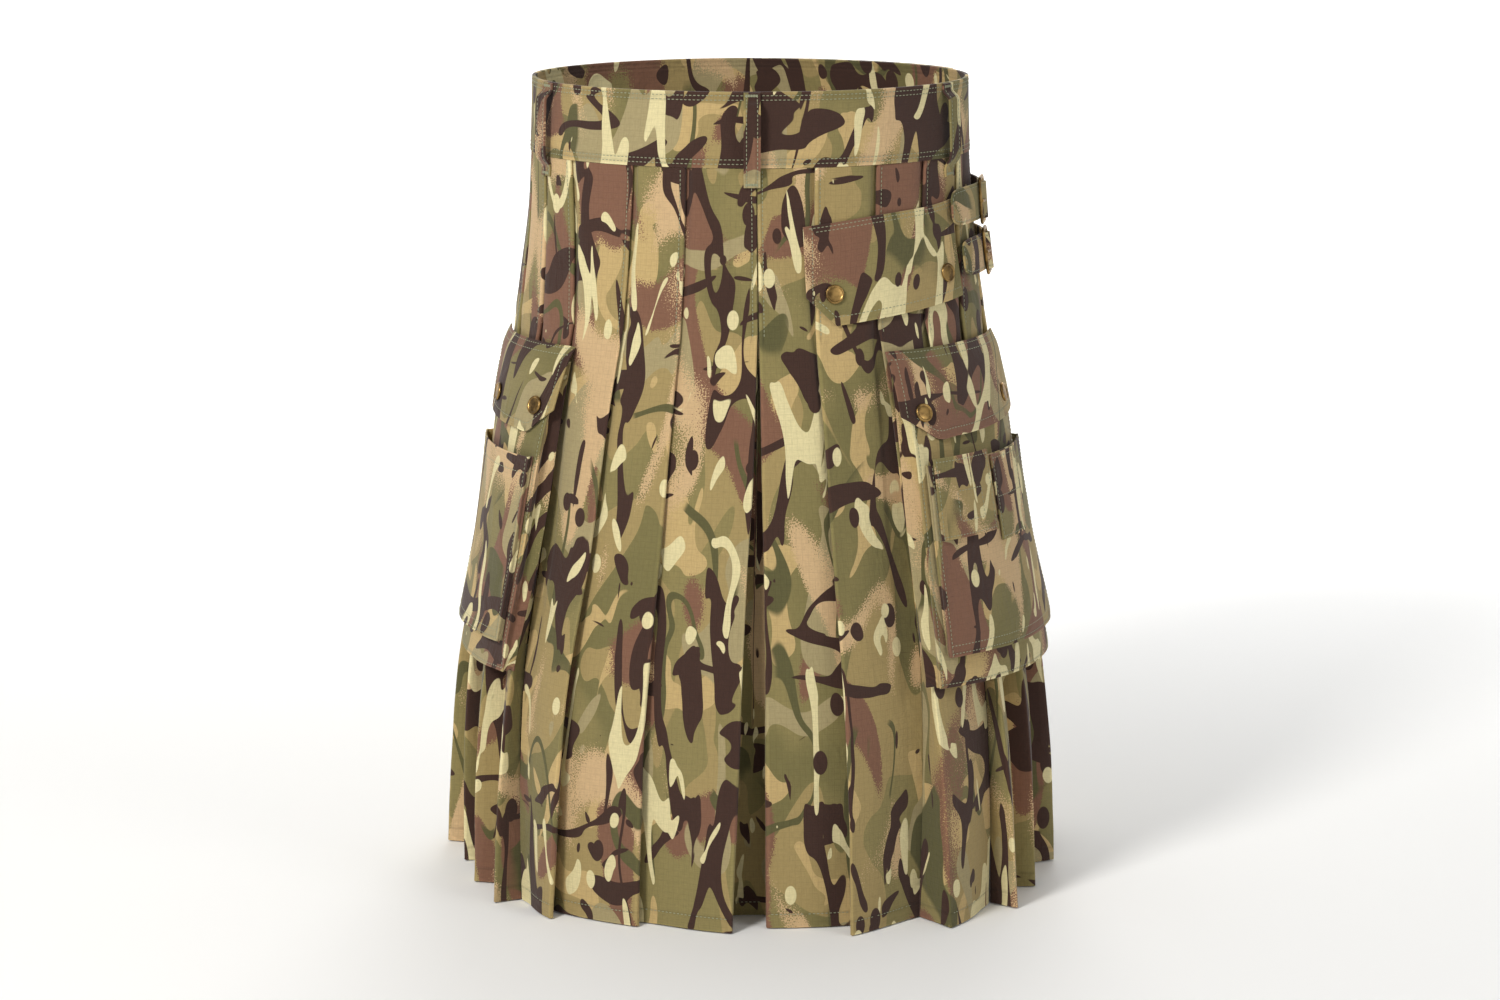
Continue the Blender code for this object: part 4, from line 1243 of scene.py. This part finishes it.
def make_tray_shell(side, kind, drops, rows, cloth_start, double):
    coarse = np.array(pocket_grid(side, rows))
    near = (0.0, 0.06, 0.13, 0.25, 0.5, 0.75)
    toward = (0.0, 0.25, 0.5, 0.75, 0.87, 0.94)
    parts = [3, 3, near, 6, 6, 6, toward, 3, 3]
    grid, columns = refine(coarse, parts, (1, 2, 7, 8))
    last = len(drops) - 1
    row_parts = [6] * (last - 1) + [(0.0, 0.3, 0.55, 0.75, 0.87, 0.94)] + [3, 3]
    grid, row_starts = refine_rows(grid, row_parts, (last, last + 1))
    grid = crumple(grid, 1.0)
    left = columns[2]
    right = columns[7]
    bottom = row_starts[last]
    along = lengths_along(grid)
    down = lengths_down(grid)
    edge = np.minimum(np.abs(along - along[:, left:left + 1]), np.abs(along - along[:, right:right + 1]))
    edge = np.minimum(edge, np.abs(down - down[bottom:bottom + 1]))
    edge = np.minimum(edge, down)
    seam = np.minimum(np.abs(edge - NARROW_SEAM * MM), np.abs(down - 0.012))
    thing = cloth_shell(
        side + "_" + kind + "_cloth", grid, along + cloth_start, down + cloth_start * 0.7, PIECE_SHOWN,
        [side + "_" + kind], edge, seam)
    declare(grid)
    lift = PIECE_SHOWN / 2.0
    group = side + "_pocket"
    sew(group, beside(grid, left, NARROW_SEAM, 0, bottom + 1), lift)
    sew(group, beside(grid, right, -NARROW_SEAM, 0, bottom + 1), lift)
    sew(group, above(grid, bottom, -NARROW_SEAM, left, right + 1), lift)
    sew(group, above(grid, 0, 12.0, left, right + 1), lift)
    if double:
        sew(group, above(grid, bottom, -8.0, left, right + 1), lift)


def make_flap_shell(side, cloth_start):
    coarse = np.array(pocket_grid(side, flap_rows(side)))
    grid, _ = refine(coarse, [4] * (coarse.shape[1] - 1))
    grid, _ = refine_rows(grid, [5, 6, 6, (0.0, 0.25, 0.45, 0.62, 0.78, 0.9)])
    grid = crumple(grid, 1.0)
    edge = edge_distance(grid, top=False)
    thing = cloth_shell(
        side + "_flap_cloth", grid, lengths_along(grid) + cloth_start,
        lengths_down(grid) + 0.4 + cloth_start, PIECE_SHOWN, [side + "_flap"], edge, np.abs(edge - WIDE_SEAM * MM))
    declare(grid)
    lift = PIECE_SHOWN / 2.0
    group = side + "_pocket"
    last = grid.shape[0] - 1
    right = grid.shape[1] - 1
    sew(group, above(grid, last, -WIDE_SEAM, 3, right - 2), lift)
    sew(group, above(grid, 0, NARROW_SEAM), lift)
    sew(group, above(grid, 0, 7.5), lift)
    sew(group, beside(grid, 0, WIDE_SEAM, 2), lift)
    sew(group, beside(grid, right, -WIDE_SEAM, 2), lift)


def make_detail_shells():
    for k, (name, start, end, top, bottom) in enumerate(PATCH_DETAILS):
        rows = []
        for drop in spread(top, bottom, 5.0):
            shares = spread(start, end, (end - start) / 16.0)
            rows.append([(drop, share, over_patch("right", drop, share)) for share in shares])
        grid = crumple(np.array(pocket_grid("right", rows)), 1.0)
        edge = edge_distance(grid)
        thing = cloth_shell(
            name + "_cloth", grid, lengths_along(grid) + 7.1 + k, lengths_down(grid) + 0.3 * k, PIECE_SHOWN,
            [name], edge, np.abs(edge - NARROW_SEAM * MM))
        declare(grid)
        lift = PIECE_SHOWN / 2.0
        last = grid.shape[1] - 1
        low = grid.shape[0] - 1
        sew("right_pocket", beside(grid, 0, NARROW_SEAM), lift)
        sew("right_pocket", beside(grid, last, -NARROW_SEAM), lift)
        sew("right_pocket", above(grid, low, -NARROW_SEAM), lift)
        sew("right_pocket", above(grid, 0, 3.0), lift)
        if name == "right_small_flap":
            for distance in (-12.0, -34.0):
                sew("right_pocket", above(grid, low, distance, 5, 13), lift)
            sew("right_pocket", beside(grid, 5, 0.0, 5, 11), lift)
            sew("right_pocket", beside(grid, 12, 0.0, 5, 11), lift)
        else:
            sew("right_pocket", above(grid, low, -32.0), lift)


def make_pocket_shells():
    start, end = PATCH_SHARES
    for side, first in (("right", 8.3), ("left", 10.6)):
        bag = tray_rows(side, 0.0, 1.0, BAG_DROPS, bag_level, GUSSET_FOLD, BAG_FLARE)
        patch = tray_rows(side, start, end, PATCH_DROPS, patch_level, PATCH_FOLD, 0.0)
        make_tray_shell(side, "bag", BAG_DROPS, bag, first, False)
        make_tray_shell(side, "patch", PATCH_DROPS, patch, first + 1.3, True)
        make_flap_shell(side, first + 2.1)
    make_detail_shells()


# Metal fittings

def turned(name, place, along, down, outward, profile, sides, node):
    # A round piece from a profile of radius and rise in millimetres
    points = []
    faces = []
    for radius, rise in profile:
        for i in range(sides):
            turn = math.tau * i / sides
            spoke = (along * math.cos(turn) - down * math.sin(turn)) * radius
            points.append(place + (spoke + outward * rise) * MM)
    for k in range(len(profile) - 1):
        for i in range(sides):
            j = (i + 1) % sides
            faces.append((k * sides + i, k * sides + sides + i, k * sides + sides + j, k * sides + j))
    faces.append(tuple(reversed(range(sides))))
    faces.append(tuple((len(profile) - 1) * sides + i for i in range(sides)))
    faces = [tuple(reversed(face)) for face in faces]
    thing = add_mesh(name, points, faces, 50.0)
    join(thing, brass, "antique_brass", node)


SNAP_PROFILE = (
    (0.6, 1.75), (3.2, 1.68), (4.6, 1.55), (5.1, 1.42), (5.35, 1.62), (5.8, 1.9), (6.3, 2.0), (6.75, 1.75),
    (6.98, 1.2), (7.0, 0.4), (6.6, 0.0),
)


def make_snap_piece(name, surface, drop, angle):
    place, along, down, outward = facing(surface, drop, angle)
    place = place + outward * (PIECE / 2.0 + SNAP_SEAT * 0.5) * MM
    turned(name + "_cap", place, along, down, outward, SNAP_PROFILE, 40, name)


def make_buckle_piece(name, drop):
    # Rounded bars and a prong
    out = strap_out(BUCKLE_ANGLE - BAR_RISE_START) + (STRAP_THICKNESS + BUCKLE_THICKNESS) / 2.0 + SEAM

    def surface(at, angle):
        return space_point(at, angle, out)

    place, along, down, outward = facing(surface, drop, BUCKLE_ANGLE)
    half = (BUCKLE_LENGTH - BUCKLE_BAR) / 2.0
    tall = (BUCKLE_HEIGHT - BUCKLE_BAR) / 2.0
    corner = 3.0
    loop = []
    for u, v, start in ((half, tall, 0), (-half, tall, 90), (-half, -tall, 180), (half, -tall, 270)):
        for turn in range(start, start + 91, 15):
            reach_u = u - math.copysign(corner, u) + corner * math.cos(math.radians(turn))
            reach_v = v - math.copysign(corner, v) + corner * math.sin(math.radians(turn))
            loop.append((reach_u, reach_v, 0.0))
    middle = [(0.0, v, 0.0) for v in spread(-tall, tall, 4.0)]
    prong = [(0.0, 0.0, 1.6), (-3.0, 0.3, 2.6), (-7.0, 0.2, 2.3), (-half, 0.0, 1.6), (-half - 1.6, 0.0, 1.3)]
    points = []
    faces = []
    for path, closed, wide, thick in (
            (loop, True, BUCKLE_BAR / 2.0, BUCKLE_THICKNESS / 2.0),
            (middle, False, BUCKLE_BAR / 2.2, BUCKLE_THICKNESS / 2.3),
            (prong, False, 1.1, 0.9)):
        first = len(points)
        count = len(path)
        for k, spot in enumerate(path):
            ahead = path[(k + 1) % count] if closed or k + 1 < count else spot
            behind = path[k - 1] if closed or k > 0 else spot
            run = Vector(ahead) - Vector(behind)
            side = Vector((-run.y, run.x, 0.0)).normalized()
            for i in range(10):
                turn = math.tau * i / 10
                local = Vector(spot) + side * wide * math.cos(turn)
                local += Vector((0, 0, 1)) * thick * math.sin(turn)
                points.append(place + (along * local.x + down * local.y + outward * local.z) * MM)
        for k in range(count if closed else count - 1):
            for i in range(10):
                j = (i + 1) % 10
                a = first + k * 10
                b = first + (k + 1) % count * 10
                faces.append((a + i, a + j, b + j, b + i))
        if not closed:
            faces.append(tuple(first + i for i in reversed(range(10))))
            faces.append(tuple(first + (count - 1) * 10 + i for i in range(10)))
    thing = add_mesh(name + "_frame", points, faces, 60.0)
    join(thing, brass, "antique_brass", name)


def make_fittings():
    for name, angle, drop in HIP_SNAPS:
        make_snap_piece(name, hip_flap_surface, drop, angle)
    for name, drop, tip_angle in STRAPS:
        make_buckle_piece("buckle_" + name, drop)
    for side in ("right", "left"):
        for name, share in FLAP_SNAPS[side]:
            angle, _ = pocket_place(side, SNAP_DROP, share)
            make_snap_piece(side + "_snap_" + name, flap_surface(side), SNAP_DROP, angle)


def make_threads():
    for group, (points, faces) in threads.items():
        thing = add_mesh("thread_" + group, points, faces, 180.0)
        join(thing, thread, "camo_cloth")


# Camera, light and floor

def make_camera():
    data = bpy.data.cameras.new("camera")
    data.lens = CAMERA_LENS
    data.sensor_width = 36.0
    camera = bpy.data.objects.new("camera", data)
    camera.location = CAMERA_PLACE
    camera.rotation_euler = (math.radians(CAMERA_TILT), 0.0, 0.0)
    bpy.context.scene.collection.objects.link(camera)
    bpy.context.scene.camera = camera


def make_light(name, place, aim, size, power, colour=(1.0, 1.0, 1.0)):
    data = bpy.data.lights.new(name, "AREA")
    data.shape = "DISK"
    data.size = size
    data.energy = power
    data.color = colour
    light = bpy.data.objects.new(name, data)
    light.location = place
    light.rotation_euler = (Vector(aim) - Vector(place)).to_track_quat("-Z", "Y").to_euler()
    bpy.context.scene.collection.objects.link(light)


def make_studio():
    world = bpy.data.worlds.new("studio")
    world.use_nodes = True
    background = world.node_tree.nodes["Background"]
    background.inputs["Color"].default_value = (1.0, 1.0, 1.0, 1.0)
    background.inputs["Strength"].default_value = 0.3
    bpy.context.scene.world = world
    bpy.context.scene.view_settings.view_transform = "Standard"
    make_light("key", (-1.6, -2.2, 1.5), (0.0, 0.0, -0.25), 0.8, 68.0, (1.0, 0.98, 0.95))
    make_light("fill", (2.2, -1.7, 0.7), (0.0, 0.0, -0.3), 1.4, 14.0)
    make_light("back", (0.3, 2.4, 1.6), (0.0, 0.0, -0.2), 1.6, 30.0)
    # Floor that bends up into a wall far behind
    turns = np.linspace(0.1, math.pi / 2.0, 14)
    bend = [(WALL_START + WALL_BEND * math.sin(turn), WALL_BEND * (1.0 - math.cos(turn))) for turn in turns]
    path = [(-6.0, 0.0), (WALL_START, 0.0)] + bend + [(WALL_START + WALL_BEND, 6.0)]
    points = [(x, y, z + FLOOR_LEVEL) for y, z in path for x in (-8.0, 8.0)]
    faces = [(2 * i, 2 * i + 1, 2 * i + 3, 2 * i + 2) for i in range(len(path) - 1)]
    floor = add_mesh("floor", points, faces, 180.0)
    paper = bpy.data.materials.new("pale_paper")
    paper.use_nodes = True
    shader = paper.node_tree.nodes["Principled BSDF"]
    shader.inputs["Base Color"].default_value = (0.92, 0.92, 0.91, 1.0)
    shader.inputs["Roughness"].default_value = 0.9
    # The floor far behind and the wall glow a little, so that the ground of the picture is pale
    tree = paper.node_tree
    place = node_of(tree, "ShaderNodeSeparateXYZ")
    tree.links.new(node_of(tree, "ShaderNodeTexCoord").outputs["Object"], place.inputs["Vector"])
    glow = node_of(tree, "ShaderNodeMapRange", interpolation_type="SMOOTHSTEP")
    tree.links.new(place.outputs["Y"], glow.inputs["Value"])
    glow.inputs["From Min"].default_value = -0.3
    glow.inputs["From Max"].default_value = WALL_START
    glow.inputs["To Max"].default_value = 0.55
    tree.links.new(glow.outputs["Result"], shader.inputs["Emission Strength"])
    shader.inputs["Emission Color"].default_value = (1.0, 1.0, 1.0, 1.0)
    floor.data.materials.append(paper)


make_camera()
make_pleat_shells()
make_band_shell()
make_apron_shells()
for number, (loop_name, loop_angle) in enumerate(LOOP_ROWS):
    make_loop_shell(loop_name, loop_angle, number)
make_hip_flap_shell()
for number, (strap_name, strap_drop, strap_tip) in enumerate(STRAPS):
    make_strap_shell(strap_name, strap_drop, strap_tip, 1.9 * number)
make_pocket_shells()
make_fittings()
make_threads()
make_studio()

bpy.context.view_layer.update()
